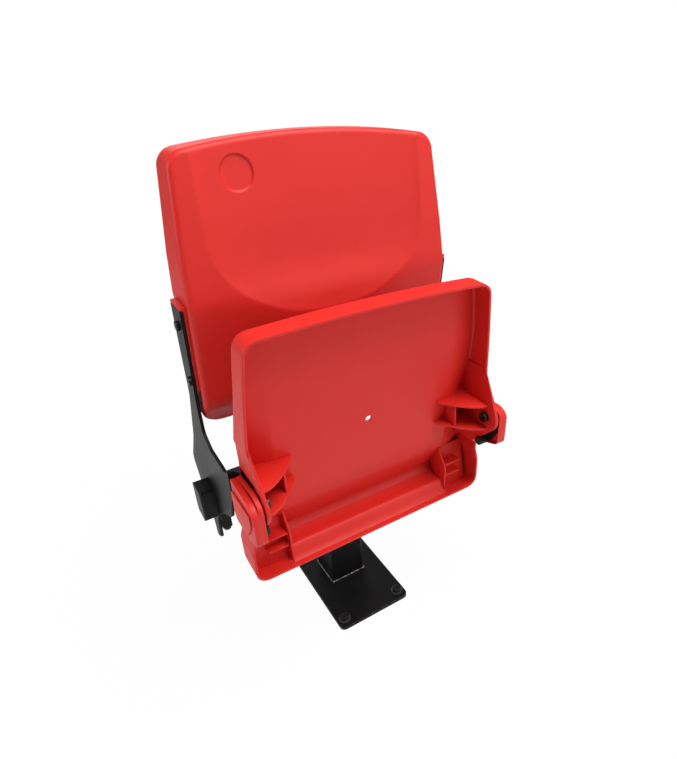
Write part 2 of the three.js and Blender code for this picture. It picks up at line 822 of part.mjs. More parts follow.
// A thin wing that climbs from the lug to a tip on the floor
function seatWeb(side, lugZ, climb) {
  const steps = [8, 1, 1];
  return formed((across, deep, up) => {
    const from = lugInner + lugThick / 2;
    const x = THREE.MathUtils.lerp(from, from - webReach, side > 0 ? 1 - across : across);
    const share = (from - x) / webReach;
    const z = lugZ + climb * share + (up - 1 / 2) * webThick;
    const rear = sittingSurface(x, z) - floorThick / 2;
    return [side * x, THREE.MathUtils.lerp(webEdge(share), rear, deep), z];
  }, steps);
}

// The small upright rib between the two webs
function crossRib(side) {
  const share = (lugInner + lugThick / 2 - crossRibHalf) / webReach;
  const across = onSide(side, crossRibHalf - webThick / 2, crossRibHalf + webThick / 2);
  const low = pivotZ - lowerWebDrop + lowerWebClimb * share;
  const high = pivotZ + upperWebRise + upperWebClimb * share;
  return block(across, [pivotY + crossRibBack, webTipY + webThick], [low, high]);
}

// The upright rib that ends the tail roll, and outboard of it a panel with two ledges
function tailRibs(side) {
  const ribRange = onSide(side, tailRibHalf - webThick / 2, tailRibHalf + webThick / 2);
  const behind = sittingY + turnUpDeep;
  const foot = seatBottom + seatWall / 2;
  let ribs = prismX(outline([
    [behind, foot],
    [pivotY + tailRibBack, foot],
    [pivotY + tailRibBack, tailRibTopZ - tailRibCurve / 2, tailRibCurve / 2],
    [pivotY + tailRibTopBack, tailRibTopZ],
    [behind, tailRibTopZ],
  ]), ribRange);
  const across = onSide(side, tailRibHalf, tailNeckHalf - seatWall / 2);
  for (const drop of [ledgeLowDrop, ledgeHighDrop]) {
    const z = pivotZ - drop;
    ribs = ribs.add(block(across, [pivotY + ledgeBack, behind], [z, z + webThick]));
  }
  const panelY = pivotY + pocketBack;
  return ribs.add(block(across, [panelY, panelY + webThick], [foot, pivotZ - pocketTopDrop]));
}

// The rolled rear edge between the two ribs: a shelf behind a rounded ridge, and a face down to the bottom wall
function tailRoll() {
  const behind = sittingY + turnUpDeep;
  return prismX(outline([
    [behind, rollTopZ + rollRidgeRound],
    [rollValleyY, rollTopZ + rollRidgeRound],
    [rollValleyY - rollValleyRound / 2, rollTopZ, rollValleyRound / 2],
    [rollRidgeY, rollTopZ, rollRidgeRound],
    [rollFootY, seatBottom + seatWall, seatWall],
    [rimTailY + seatWall, seatBottom + seatWall / 2],
    [behind, seatBottom + seatWall / 2],
  ]), [-tailRibHalf, tailRibHalf]);
}

function seatPan() {
  const depths = [pivotY - lugRound - overrun, sittingY + turnUpDeep + overrun];
  const widths = [-tailHalf - overrun, tailHalf + overrun];
  const inFront = inFrontOfFloor(0);
  let pan = leaningPrismY(seatFrontOutline(0), depths, rimTopY, seatLean);
  pan = pan.intersect(prismX(seatSideOutline(), widths)).intersect(inFront);
  const hollow = leaningPrismY(seatFrontOutline(seatWall), depths, rimTopY, seatLean);
  pan = pan.subtract(hollow.intersect(inFrontOfFloor(floorThick)));
  pan = pan.add(tailRoll().intersect(inFront));
  for (const side of [-1, 1]) {
    let fittings = seatLug(side).add(tailRibs(side)).add(crossRib(side));
    fittings = fittings.add(seatWeb(side, pivotZ + upperWebRise, upperWebClimb));
    fittings = fittings.add(seatWeb(side, pivotZ - lowerWebDrop, lowerWebClimb));
    pan = pan.add(fittings.intersect(inFront));
    const through = onSide(side, lugInner - overrun, seatNeckHalf + overrun);
    pan = pan.subtract(rodX(bushRadius + fitGap, through, pivotY, pivotZ));
    const [pinY, pinZ] = aroundPivot(stopPinAngle, stopPinAway);
    pan = pan.subtract(rodX(stopPinRadius + fitGap, through, pinY, pinZ));
  }
  return pan.subtract(rodY(drainRadius, depths, 0, drainZ));
}

// Backrest

// The backrest seen from the front, drawn in by an inset for the inside of its walls
function backFrontOutline(inset) {
  const topEdge = backTop - inset;
  const right = [
    [backLowHalf - inset, backBottom + inset, backLowCorner],
    [backLowHalf - inset, backLowZ],
    [backMidHalf - inset, backMidZ],
    [backTopHalf - inset, topEdge - backCrown, backCorner],
  ];
  const crownSteps = 4;
  for (let step = 1; step < crownSteps; step += 1) {
    const x = (backTopHalf - inset) * (1 - step / crownSteps);
    right.push([x, topEdge - backCrown * (x / backTopHalf) ** 2]);
  }
  const left = right.map(([x, z, radius]) => [-x, z, radius]).reverse();
  return outline([...right, [0, topEdge], ...left]);
}

// The front face: it leans back to the top and to the foot, the belly swells and the shield is scooped
function backFrontAt(x, z) {
  const edge = along([
    [backBottom, backLowFront],
    [backFootZ, backFootFront],
    [backDeepZ, backDeepFront],
    [backTop, backTopFront],
  ], z);
  const across = 1 - smooth((Math.abs(x) - bellyHalf + bellyEase) / bellyEase);
  const rising = smooth((z - backFootZ) / (backDeepZ - backFootZ));
  const falling = 1 - smooth((z - backLowZ + shieldDrop / 2) / shieldDrop);
  const belly = bellyOut * across * rising * falling;
  const below = Math.max(0, backMidZ - z) / shieldDrop;
  const inside = Math.max(0, 1 - (x / shieldHalf) ** 2 - below ** 2);
  return edge - belly + shieldScoop * Math.sqrt(inside) * smooth(inside * 2);
}

// The side and top walls open out toward the rear, above the bracket's strips
function backLean(x, z) {
  const share = backDraftShare * smooth((z - backLowZ) / backDraftFade);
  return [share * x / backMidHalf, share * (z - backLowZ) / (backTop - backLowZ)];
}

function backRearAt(z) {
  const up = THREE.MathUtils.clamp((z - backLowZ) / (backTop - backLowZ), 0, 1);
  return THREE.MathUtils.lerp(backMidRear, backTopRear, up);
}

// The space between the front face, moved back by a wall, and the open rear
function backDepth(wall, past) {
  const steps = [22, 1, 22];
  return formed((across, deep, up) => {
    const x = THREE.MathUtils.lerp(-backLowHalf - overrun, backLowHalf + overrun, across);
    const z = THREE.MathUtils.lerp(backBottom - overrun, backTop + overrun, up);
    return [x, THREE.MathUtils.lerp(backFrontAt(x, z) + wall, backRearAt(z) + past, deep), z];
  }, steps);
}

// The pad that the bracket's strip is screwed to, with a small roof over the strip's end
function backPad(side) {
  const front = stripFront;
  const inner = backLowHalf - padSink;
  const face = bracketInner - fitGap;
  const roofFrom = stripTop + fitGap;
  const pad = block(onSide(side, inner, face), [front, stripRear], [stripTop - padHigh, roofFrom + padRoof]);
  return pad.add(block(onSide(side, inner, bracketOuter), [front, stripRear], [roofFrom, roofFrom + padRoof]));
}

function backrest() {
  const depths = [-overrun * 5, overrun * 3];
  const widths = backLowHalf + overrun;
  let shell = leaningPrismY(backFrontOutline(0), depths, backTopFront, backLean).intersect(backDepth(0, 0));
  const hollow = leaningPrismY(backFrontOutline(backWall), depths, backTopFront, backLean);
  shell = shell.subtract(hollow.intersect(backDepth(backWall, overrun)));
  for (const side of [-1, 1]) {
    shell = shell.add(backPad(side));
    for (const z of [backScrewHighZ, backScrewLowZ]) {
      shell = shell.subtract(rodX(backScrew + fitGap, onSide(side, backLowHalf - overrun, widths), backScrewY, z));
    }
  }
  const number = rodY(numberRadius, depths, numberIn - shieldHalf, backTop - numberDrop);
  return shell.subtract(number.subtract(backDepth(numberDeep, depths[1])));
}

function backScrewPiece(side, z) {
  const seat = bracketOuter + fitGap;
  const nutEnd = backLowHalf - padSink - fitGap - backNutThick;
  const shank = rodX(backScrew, onSide(side, nutEnd, seat + backScrewHigh / 2), backScrewY, z);
  const head = rodX(backScrewHead, onSide(side, seat, seat + backScrewHigh), backScrewY, z);
  const socketFrom = seat + backScrewHigh - backScrewSocketDeep;
  const socket = rodX(backScrewSocket, onSide(side, socketFrom, seat + overrun), backScrewY, z, hexSides);
  return shank.add(head).subtract(socket);
}

function backNut(side, z) {
  const to = backLowHalf - padSink - fitGap;
  const nut = rodX(backNutRadius, onSide(side, to - backNutThick, to), backScrewY, z, hexSides);
  return nut.subtract(rodX(backScrew + fitGap / 2, onSide(side, to - overrun, to + overrun), backScrewY, z));
}

// The whole seat: the stand does not move, and the tip group turns about the hinge

const stadiumSeat = new THREE.Group();
const stand = new THREE.Group();
const tip = new THREE.Group();
stadiumSeat.add(stand, tip);

stand.add(piece('base_plate', basePlate(), steel));
anchorSides.forEach(([side, end], index) => {
  const [x, y] = anchorPlace(side, end);
  stand.add(piece(`anchor_washer_${index + 1}`, anchorWasher(x, y), zinc));
  stand.add(piece(`anchor_bolt_${index + 1}`, anchorBolt(x, y), screwBlack));
});
stand.add(piece('post_tube', postTube(), steel));
stand.add(piece('cross_beam', crossBeam(), steel));
stand.add(piece('backrest', backrest(), red));
tip.add(piece('seat_pan', seatPan(), red));

for (const [label, side] of [['left', -1], ['right', 1]]) {
  stand.add(piece(`beam_cap_${label}`, beamCap(side), capBlack));
  stand.add(piece(`beam_saddle_${label}`, beamSaddle(side), steel));
  stand.add(piece(`saddle_screw_${label}`, saddleScrewPiece(side), zinc));
  stand.add(piece(`bracket_${label}`, bracket(side), steel));
  stand.add(piece(`pivot_bolt_${label}`, pivotBolt(side), screwBlack));
  stand.add(piece(`pivot_nut_${label}`, pivotNut(side), zinc));
  stand.add(piece(`return_spring_${label}`, returnSpring(side), zinc));
  stand.add(piece(`hinge_cover_${label}`, hingeCover(side), red));
  stand.add(piece(`stow_bumper_${label}`, stowBumper(side), rubber));
  for (const [level, z] of [['upper', backScrewHighZ], ['lower', backScrewLowZ]]) {
    stand.add(piece(`back_screw_${label}_${level}`, backScrewPiece(side, z), screwBlack));
    stand.add(piece(`back_nut_${label}_${level}`, backNut(side, z), zinc));
  }
  tip.add(piece(`pivot_bush_${label}`, pivotBush(side), paleNylon));
  tip.add(piece(`stop_pin_${label}`, stopPin(side), zinc));
}

export default stadiumSeat;
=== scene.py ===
# %% [markdown]
# # A tip-up stadium seat, stowed
#
# The seat stands on one post. Two steel brackets carry a red backrest and, at a hinge, a red pan that
# swings up by itself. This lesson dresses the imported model: the moulded shells are built again with soft
# edges, the steel and the screws are softened copies of the solids, and every surface gets a finish of its
# own. All sizes are metres.

import json
import math

import bmesh
import bpy
from mathutils import Matrix, Vector


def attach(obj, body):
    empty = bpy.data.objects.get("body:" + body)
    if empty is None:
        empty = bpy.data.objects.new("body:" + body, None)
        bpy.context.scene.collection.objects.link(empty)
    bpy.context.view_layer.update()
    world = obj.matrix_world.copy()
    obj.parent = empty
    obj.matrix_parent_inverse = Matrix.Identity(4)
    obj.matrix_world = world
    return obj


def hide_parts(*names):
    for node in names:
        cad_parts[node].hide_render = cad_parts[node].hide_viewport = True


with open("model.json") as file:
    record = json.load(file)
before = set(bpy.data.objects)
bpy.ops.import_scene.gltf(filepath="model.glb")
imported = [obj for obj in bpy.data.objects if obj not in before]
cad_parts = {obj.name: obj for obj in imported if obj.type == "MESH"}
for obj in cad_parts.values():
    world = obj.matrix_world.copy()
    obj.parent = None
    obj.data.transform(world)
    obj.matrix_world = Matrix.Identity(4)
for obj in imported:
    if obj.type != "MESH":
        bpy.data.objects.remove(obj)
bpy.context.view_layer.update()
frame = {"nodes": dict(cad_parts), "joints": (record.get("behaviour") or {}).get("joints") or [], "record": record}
hinge = Vector(frame["joints"][0]["pos_m"])
SIDES = {"left": -1, "right": 1}
print("hinge at", tuple(round(value, 4) for value in hinge))

# %% [markdown]
# ## The camera
#
# The photograph looks down on the seat's left front. Heading, pitch and roll were found by lining the
# model's straight edges up with the picture, and a small shift of the lens puts the seat where the picture
# has it.

# %% Camera
CAMERA_PLACE = Vector((-0.36254, -0.81427, 0.91798))
CAMERA_HEADING = math.radians(32.687)
CAMERA_DOWN = math.radians(28.430)
CAMERA_ROLL = math.radians(-1.358)
CAMERA_LENS = 26.335
CAMERA_SHIFT = (-0.0787, 0.0094)


def make_camera():
    """The camera, turned by heading, then tipped down, then rolled."""
    camera = bpy.data.objects.new("camera", bpy.data.cameras.new("camera"))
    bpy.context.scene.collection.objects.link(camera)
    turned = Matrix.Rotation(-CAMERA_HEADING, 4, "Z")
    tipped = Matrix.Rotation(math.pi / 2 - CAMERA_DOWN, 4, "X")
    rolled = Matrix.Rotation(CAMERA_ROLL, 4, "Z")
    camera.matrix_world = Matrix.Translation(CAMERA_PLACE) @ turned @ tipped @ rolled
    camera.data.lens = CAMERA_LENS
    camera.data.shift_x, camera.data.shift_y = CAMERA_SHIFT
    bpy.context.scene.camera = camera
    return camera


print("camera", make_camera().name)

# %% [markdown]
# ## Writing a material as a sum
#
# A node tree reads best as an expression. `Value` wraps one output of a node, and Python's own operators
# add the Math nodes, so that `0.4 + 0.1 * noise` is three words instead of six lines. Any other node comes
# from `node`.


# %% A value in a node tree
class Value:
    """One output of a node. Operators add Math nodes, and node() adds any other."""

    def __init__(self, tree, output=None):
        self.tree = tree
        self.output = output

    def node(self, kind, output=0, sockets=None, **settings):
        made = self.tree.nodes.new(kind)
        for name, setting in settings.items():
            setattr(made, name, setting)
        for name, value in (sockets or {}).items():
            if isinstance(value, Value):
                self.tree.links.new(value.output, made.inputs[name])
            else:
                made.inputs[name].default_value = value
        return Value(self.tree, made.outputs[output])

    def math(self, operation, first, second):
        return self.node("ShaderNodeMath", operation=operation, sockets={0: first, 1: second})

    def __add__(self, other):
        return self.math("ADD", self, other)

    __radd__ = __add__

    def __mul__(self, other):
        return self.math("MULTIPLY", self, other)

    __rmul__ = __mul__

    def __rsub__(self, other):
        return self.math("SUBTRACT", other, self)

    def clamped(self):
        return self.math("MINIMUM", self.math("MAXIMUM", self, 0.0), 1.0)


def noise(value, scale, detail=2.0):
    """Soft random spots, scale of them to a metre."""
    where = value.node("ShaderNodeTexCoord", output="Object")
    sockets = {"Vector": where, "Scale": scale, "Detail": detail}
    return value.node("ShaderNodeTexNoise", output="Fac", sockets=sockets)


def blend_colours(value, share, first, second):
    ends = [(*end, 1.0) if isinstance(end, tuple) else end for end in (first, second)]
    sockets = {0: share, 6: ends[0], 7: ends[1]}
    return value.node("ShaderNodeMix", output=2, data_type="RGBA", sockets=sockets)


def ranged(value, amount, first, last):
    """0 up to the first amount, 1 from the last one on, and a straight rise between them."""
    sockets = {"Value": amount, "From Min": first, "From Max": last}
    return value.node("ShaderNodeMapRange", sockets=sockets)


def bumped(value, height, depth, strength):
    sockets = {"Height": height, "Distance": depth, "Strength": strength}
    return value.node("ShaderNodeBump", output="Normal", sockets=sockets)


def material(name, build):
    """A new material, whose surface build() describes as sockets of the Principled shader."""
    made = bpy.data.materials.new(name)
    made.use_nodes = True
    tree = made.node_tree
    shader = next(node for node in tree.nodes if node.type == "BSDF_PRINCIPLED")
    for socket, value in build(Value(tree)).items():
        if isinstance(value, Value):
            tree.links.new(value.output, shader.inputs[socket])
        elif isinstance(value, tuple):
            shader.inputs[socket].default_value = (*value, 1.0)
        else:
            shader.inputs[socket].default_value = value
    made.diffuse_color = (*shader.inputs["Base Color"].default_value[:3], 1.0)
    return made


WEAR_AND_HIGHLIGHT_GAIN = 6.0


def edge_wear_and_highlight(value, radius):
    """Near 1 on outer edges and 0 on flats, from how far a rounded normal leaves the real one."""
    soft = value.node("ShaderNodeBevel", samples=4, sockets={"Radius": radius})
    true = value.node("ShaderNodeNewGeometry", output="Normal")
    sockets = {0: soft, 1: true}
    alike = value.node("ShaderNodeVectorMath", output="Value", operation="DOT_PRODUCT", sockets=sockets)
    return (WEAR_AND_HIGHLIGHT_GAIN * (1.0 - alike)).clamped()


# %% [markdown]
# ## The finishes
#
# The red shells are injection moulded: a fine even grain, a satin gloss and hardly any change of colour. The
# steel is powder coated, which leaves a faint orange-peel texture, and small bright grey marks at its edges are
# partly chipped paint and partly a painted edge highlight. Screws are black oxide, the backrest's nuts are zinc
# plated, and the anchor washers have gone dull and dark.

# %% Finishes
RED = (0.72, 0.026, 0.019)
DEEP_RED = (0.66, 0.019, 0.014)
COAT = (0.0055, 0.0055, 0.006)
DUSTY_COAT = (0.011, 0.011, 0.011)
# Bright grey for the steel's edge marks: partly bare steel where the coat is chipped, partly a painted edge
# highlight.
WORN_STEEL_AND_HIGHLIGHT = (0.30, 0.30, 0.29)
WEAR_AND_HIGHLIGHT_RADIUS = 0.0012
WEAR_AND_HIGHLIGHT_SHARE = 0.55
CHIP_AND_HIGHLIGHT_SHARES = (0.52, 0.62)

# How many soft spots of each noise there are to a metre.
GRAIN_SCALE = 1900.0
CLOUD_SCALE = 9.0
SCUFF_SCALE = 60.0
PEEL_SCALE = 900.0
DUST_SCALE = 14.0
CHIP_AND_HIGHLIGHT_SCALE = 90.0
CAP_GRAIN_SCALE = 1400.0
OXIDE_SCALE = 220.0
ZINC_SCALE = 160.0
WASHER_SCALE = 200.0
RUBBER_SCALE = 700.0

# How deep the fine ones go.
GRAIN_DEPTH = 0.00006
PEEL_DEPTH = 0.00012
CAP_GRAIN_DEPTH = 0.00005
ZINC_DEPTH = 0.0001
RUBBER_DEPTH = 0.0001


def red_plastic(value):
    grain = noise(value, GRAIN_SCALE, detail=3.0)
    clouds = noise(value, CLOUD_SCALE)
    scuffs = noise(value, SCUFF_SCALE, detail=4.0)
    return {
        "Base Color": blend_colours(value, 0.75 * clouds, RED, DEEP_RED),
        "Roughness": 0.40 + 0.10 * scuffs,
        "Specular IOR Level": 0.28,
        "Normal": bumped(value, grain, GRAIN_DEPTH, strength=0.35),
    }


def powder_coat(value):
    peel = noise(value, PEEL_SCALE)
    dust = noise(value, DUST_SCALE, detail=3.0)
    coat = blend_colours(value, 0.6 * dust, COAT, DUSTY_COAT)
    chips_and_highlights = ranged(value, noise(value, CHIP_AND_HIGHLIGHT_SCALE, detail=4.0), *CHIP_AND_HIGHLIGHT_SHARES)
    # Outer edges turn bright grey in noisy patches: partly worn paint, partly a painted edge highlight.
    worn_and_highlit = WEAR_AND_HIGHLIGHT_SHARE * (edge_wear_and_highlight(value, WEAR_AND_HIGHLIGHT_RADIUS) * chips_and_highlights)
    return {
        "Base Color": blend_colours(value, worn_and_highlit, coat, WORN_STEEL_AND_HIGHLIGHT),
        "Roughness": 0.40 + 0.14 * dust,
        "Specular IOR Level": 0.17,
        "Normal": bumped(value, peel, PEEL_DEPTH, strength=0.35),
    }


def black_plastic(value):
    grain = noise(value, CAP_GRAIN_SCALE)
    return {
        "Base Color": blend_colours(value, grain, (0.004, 0.004, 0.004), (0.008, 0.008, 0.008)),
        "Roughness": 0.52,
        "Normal": bumped(value, grain, CAP_GRAIN_DEPTH, strength=0.4),
    }


def black_oxide(value):
    smears = noise(value, OXIDE_SCALE, detail=4.0)
    return {
        "Base Color": blend_colours(value, smears, (0.020, 0.020, 0.022), (0.045, 0.045, 0.048)),
        "Metallic": 0.75,
        "Roughness": 0.28 + 0.2 * smears,
    }


def zinc_plate(value):
    smears = noise(value, ZINC_SCALE, detail=5.0)
    return {
        "Base Color": blend_colours(value, smears, (0.30, 0.31, 0.32), (0.46, 0.46, 0.45)),
        "Metallic": 0.9,
        "Roughness": 0.3 + 0.25 * smears,
        "Normal": bumped(value, smears, ZINC_DEPTH, strength=0.3),
    }


def washer_steel(value):
    smears = noise(value, WASHER_SCALE, detail=4.0)
    return {
        "Base Color": blend_colours(value, smears, (0.06, 0.06, 0.062), (0.14, 0.14, 0.14)),
        "Metallic": 0.8,
        "Roughness": 0.35 + 0.2 * smears,
    }


def rubber(value):
    grain = noise(value, RUBBER_SCALE, detail=3.0)
    return {
        "Base Color": blend_colours(value, grain, (0.006, 0.006, 0.006), (0.014, 0.014, 0.014)),
        "Roughness": 0.7 + 0.1 * grain,
        "Normal": bumped(value, grain, RUBBER_DEPTH, strength=0.5),
    }


FINISHES = {
    "seat_plastic": material("seat_plastic", red_plastic),
    "stand_steel": material("stand_steel", powder_coat),
    "cap_plastic": material("cap_plastic", black_plastic),
    "black_screw": material("black_screw", black_oxide),
    "zinc_steel": material("zinc_steel", zinc_plate),
    "bumper_rubber": material("bumper_rubber", rubber),
}
dark_washer = material("dark_washer", washer_steel)
print(len(FINISHES) + 1, "finishes")

# %% [markdown]
# ## Putting a finished mesh in its place
#
# Each piece ends the same way. Its mesh becomes an object at the origin, it rides on a body of the packed
# model, the solids it stands for are hidden, and it takes its finish from a slot of the record. Where two
# faces meet at more than its sharp angle, the edge between them stays crisp.

# %% From mesh to piece
PLATE_SHARP = 35.0
STEEL_SHARP = 32.0
SHELL_SHARP = 60.0


def shade_smooth(mesh, sharp_degrees):
    mesh.polygons.foreach_set("use_smooth", [True] * len(mesh.polygons))
    mesh.set_sharp_from_angle(angle=math.radians(sharp_degrees))


def place_piece(name, bm, body, slot, nodes, look=None, sharp_degrees=PLATE_SHARP):
    """A finished piece. Its look is that of its slot, unless another one is given."""
    mesh = bpy.data.meshes.new(name)
    bm.to_mesh(mesh)
    bm.free()
    shade_smooth(mesh, sharp_degrees)
    mesh.materials.append(look or FINISHES[slot])
    made = bpy.data.objects.new(name, mesh)
    bpy.context.scene.collection.objects.link(made)
    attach(made, body)
    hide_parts(*nodes)
    return made


def add_modifier(piece, kind, **settings):
    made = piece.modifiers.new(kind.lower(), kind)
    for name, setting in settings.items():
        setattr(made, name, setting)
    return made


# %% [markdown]
# ## Steel and screws: softened copies
#
# A pressed or sawn piece has the right shape already, but its edges are knife sharp, and a real edge
# always catches a line of light. So the solid is copied, its triangles are merged into whole faces, and the
# edges between them get a small round, while the flats keep their own shading. A bracket's nose and top
# edge are drawn in a little, which leaves room for the cover's rim, and a stop pin ends inside its lug.

# %% Softened copies of the solids
MERGE_GAP = 1e-6
FLAT_DEGREES = 1.0
EDGE_DEGREES = 40.0
ARM_INNER = 0.207
ARM_OUTER = 0.2137
SLOT_REACH = 0.0208
NOSE_REACH = 0.030
NOSE_SHRINK = 0.93
ARM_ROOF = 0.0216
ARM_ROOF_FALL = 0.10
ARM_ROOF_REAR = 0.072
PIN_SHORTER = 0.003
# ARM_INNER and ARM_OUTER lie on either side of a bracket's arm. The other lengths start at the hinge.


def draw_in_nose(bm):
    """Makes room for the cover's rim round the arm's nose and top. The stop pin's slot stays as it is."""
    for vert in bm.verts:
        spoke = vert.co - Vector((vert.co.x, hinge.y, hinge.z))
        if spoke.length < SLOT_REACH or not ARM_INNER < abs(vert.co.x) < ARM_OUTER:
            continue
        if spoke.y < NOSE_REACH / 2 and spoke.length < NOSE_REACH * 2:
            vert.co -= spoke * (1.0 - NOSE_SHRINK)
        if spoke.y < ARM_ROOF_REAR:
            roof = ARM_ROOF - ARM_ROOF_FALL * max(spoke.y, 0.0)
            vert.co.z = min(vert.co.z, hinge.z + roof)


def shorten_pin(bm):
    """Ends a stop pin inside its lug, which is closed on the inside."""
    inner = min(abs(vert.co.x) for vert in bm.verts)
    for vert in bm.verts:
        if abs(vert.co.x) < inner + PIN_SHORTER / 2:
            vert.co.x += math.copysign(PIN_SHORTER, vert.co.x)


def softened(node, round_by, look):
    """A copy of a solid whose sharp edges have a small round."""
    bm = bmesh.new()
    bm.from_mesh(frame["nodes"][node].data)
    bmesh.ops.remove_doubles(bm, verts=bm.verts, dist=MERGE_GAP)
    flat = math.radians(FLAT_DEGREES)
    bmesh.ops.dissolve_limit(bm, angle_limit=flat, verts=bm.verts, edges=bm.edges)
    if node.startswith("bracket"):
        draw_in_nose(bm)
    if node.startswith("stop_pin"):
        shorten_pin(bm)
    least = math.radians(EDGE_DEGREES)
    sharp = [edge for edge in bm.edges if edge.is_manifold and edge.calc_face_angle(0.0) > least]
    bmesh.ops.bevel(
        bm, geom=sharp, offset=round_by, offset_type="OFFSET", segments=2, profile=0.5,
        affect="EDGES", material=-1, clamp_overlap=True,
    )
    piece = place_piece(f"{node}_piece", bm, body_of[node], slot_of[node], [node], look, STEEL_SHARP)
    add_modifier(piece, "WEIGHTED_NORMAL", keep_sharp=True)
    return piece


bodies = frame["record"]["behaviour"]["bodies"]
body_of = {node: body for body, members in bodies.items() for node in members}
slot_of = {row["node"]: row["material_slot"] for row in frame["record"]["subparts"]}
MADE_AGAIN = ("seat_pan", "backrest", "hinge_cover_left", "hinge_cover_right")
EDGE_ROUNDS = {
    "base_plate": 0.0012,
    "anchor_washer": 0.0005,
    "anchor_bolt": 0.0012,
    "post_tube": 0.0004,
    "cross_beam": 0.0003,
    "beam_cap": 0.0010,
    "beam_saddle": 0.0012,
    "saddle_screw": 0.0006,
    "bracket": 0.0007,
    "pivot_bolt": 0.0010,
    "pivot_nut": 0.0005,
    "return_spring": 0.0004,
    "stow_bumper": 0.0014,
    "back_screw": 0.0008,
    "back_nut": 0.0005,
    "pivot_bush": 0.0003,
    "stop_pin": 0.0003,
}

# Pieces whose look isn't that of their slot.
LOOKS = {
    "anchor_washer": dark_washer,
    "pivot_nut": FINISHES["black_screw"],
    "saddle_screw": FINISHES["black_screw"],
    "stop_pin": FINISHES["black_screw"],
    "pivot_bush": FINISHES["cap_plastic"],
}

for node in sorted(body_of):
    kind = next((kind for kind in EDGE_ROUNDS if node.startswith(kind)), None)
    if kind:
        softened(node, EDGE_ROUNDS[kind], LOOKS.get(kind))
print("softened", len(body_of) - len(MADE_AGAIN), "solids")

# %% [markdown]
# ## A tray from a grid
#
# Both red shells are trays: a curved face with a wall round it. A grid makes the face, one formula puts
# each of its points in place, and its edge is then extruded ring by ring, first round the corner and then
# down the wall. A point's shares of the width and height ride along in a layer, and the extruded copies
# inherit them.


# %% Tray helpers
def along(stops, at):
    """A value read off straight lines between (place, value) stops."""
    for (place_a, value_a), (place_b, value_b) in zip(stops, stops[1:]):
        if at <= place_b:
            return value_a + (value_b - value_a) * max(0.0, at - place_a) / (place_b - place_a)
    return stops[-1][1]


def smooth(value):
    share = min(1.0, max(0.0, value))
    return share * share * (3.0 - 2.0 * share)


def mix(first, second, share):
    return first + (second - first) * share


def tray(columns, rows, place, rings):
    """A face placed by place(share_x, share_z, ring 0), and its edge extruded through the other rings."""
    bm = bmesh.new()
    shares = bm.verts.layers.float_vector.new("shares")
    bmesh.ops.create_grid(bm, x_segments=columns, y_segments=rows, size=1.0)
    for vert in bm.verts:
        vert[shares] = vert.co
    edge = [item for item in bm.edges if item.is_boundary]
    for vert in bm.verts:
        vert.co = place(vert[shares].x, vert[shares].y, rings[0])
    for ring in rings[1:]:
        grown = bmesh.ops.extrude_edge_only(bm, edges=edge)["geom"]
        edge = [item for item in grown if isinstance(item, bmesh.types.BMEdge) and item.is_boundary]
        for vert in {vert for item in edge for vert in item.verts}:
            vert.co = place(vert[shares].x, vert[shares].y, ring)
    return bm


def corner_drop(z, edge, radius, up):
    """How far a rounded corner draws the outline in, at height z near an edge."""
    into = up * (z - edge) + radius
    if into <= 0.0 or radius <= 0.0:
        return 0.0
    return radius - math.sqrt(max(0.0, radius * radius - into * into))


def rounding(steps):
    """Shares of a quarter turn: how far in from the wall, and how far back from the face."""
    turns = [math.pi / 2 * step / steps for step in range(steps + 1)]
    return [(1.0 - math.sin(turn), 1.0 - math.cos(turn)) for turn in turns]


def face_outward(bm, direction):
    """Turns the shell so that its broad face looks along a direction."""
    bmesh.ops.recalc_face_normals(bm, faces=bm.faces)
    facing = sum(face.normal.dot(direction) * face.calc_area() for face in bm.faces)
    if facing < 0.0:
        bmesh.ops.reverse_faces(bm, faces=bm.faces)


# %% [markdown]
# ## The backrest
#
# The backrest is one moulding. Its face leans back, is scooped out in a shield that the sitter's back
# rests in, and swells below it. A round recess waits for a seat number. The walls run back to an open rear.

# %% Backrest sizes
BACK_TOP = hinge.z + 0.451
BACK_FOOT = hinge.z + 0.0235
BACK_CROWN = 0.0155
BACK_TOP_HALF = 0.2010
BACK_MID_HALF = 0.2128
BACK_LOW_HALF = 0.2162
BACK_MID_Z = BACK_TOP - 0.148
BACK_LOW_Z = BACK_TOP - 0.218
BACK_DEEP_Z = BACK_TOP - 0.213
BACK_BEND_Z = BACK_FOOT + 0.051
BACK_CORNER = 0.020
BACK_LOW_CORNER = 0.034
BACK_ROUND = 0.007
BACK_ROUND_FADE = 0.03
BACK_EASE = 0.012
BACK_WALL = 0.0038
BACK_TOP_FRONT = -0.048
BACK_DEEP_FRONT = -0.0695
BACK_BEND_FRONT = -0.042
BACK_FOOT_FRONT = 0.006
BACK_TOP_REAR = 0.0
BACK_MID_REAR = 0.010
BACK_LEAN_SHARE = 0.02
BACK_LEAN_FADE = 0.015
SHIELD_HALF = BACK_TOP_HALF - 0.028
SHIELD_MID_Z = BACK_TOP - 0.128
SHIELD_DROP = 0.121
SHIELD_SCOOP = 0.016
SHIELD_POWER = 0.8
BELLY_OUT = 0.012
BELLY_HALF = 0.185
BELLY_EASE = 0.130
BELLY_TOP_Z = BACK_TOP - 0.170
BELLY_FADE = 0.095
NUMBER_X = -0.1135
NUMBER_Z = BACK_TOP - 0.047
NUMBER_RADIUS = 0.0232
NUMBER_DEEP = 0.0024
NUMBER_EDGE = 0.0016


# %% Backrest form
def back_half(z):
    if z > BACK_MID_Z:
        return mix(BACK_MID_HALF, BACK_TOP_HALF, (z - BACK_MID_Z) / (BACK_TOP - BACK_CROWN - BACK_MID_Z))
    if z > BACK_LOW_Z:
        return mix(BACK_LOW_HALF, BACK_MID_HALF, (z - BACK_LOW_Z) / (BACK_MID_Z - BACK_LOW_Z))
    return BACK_LOW_HALF


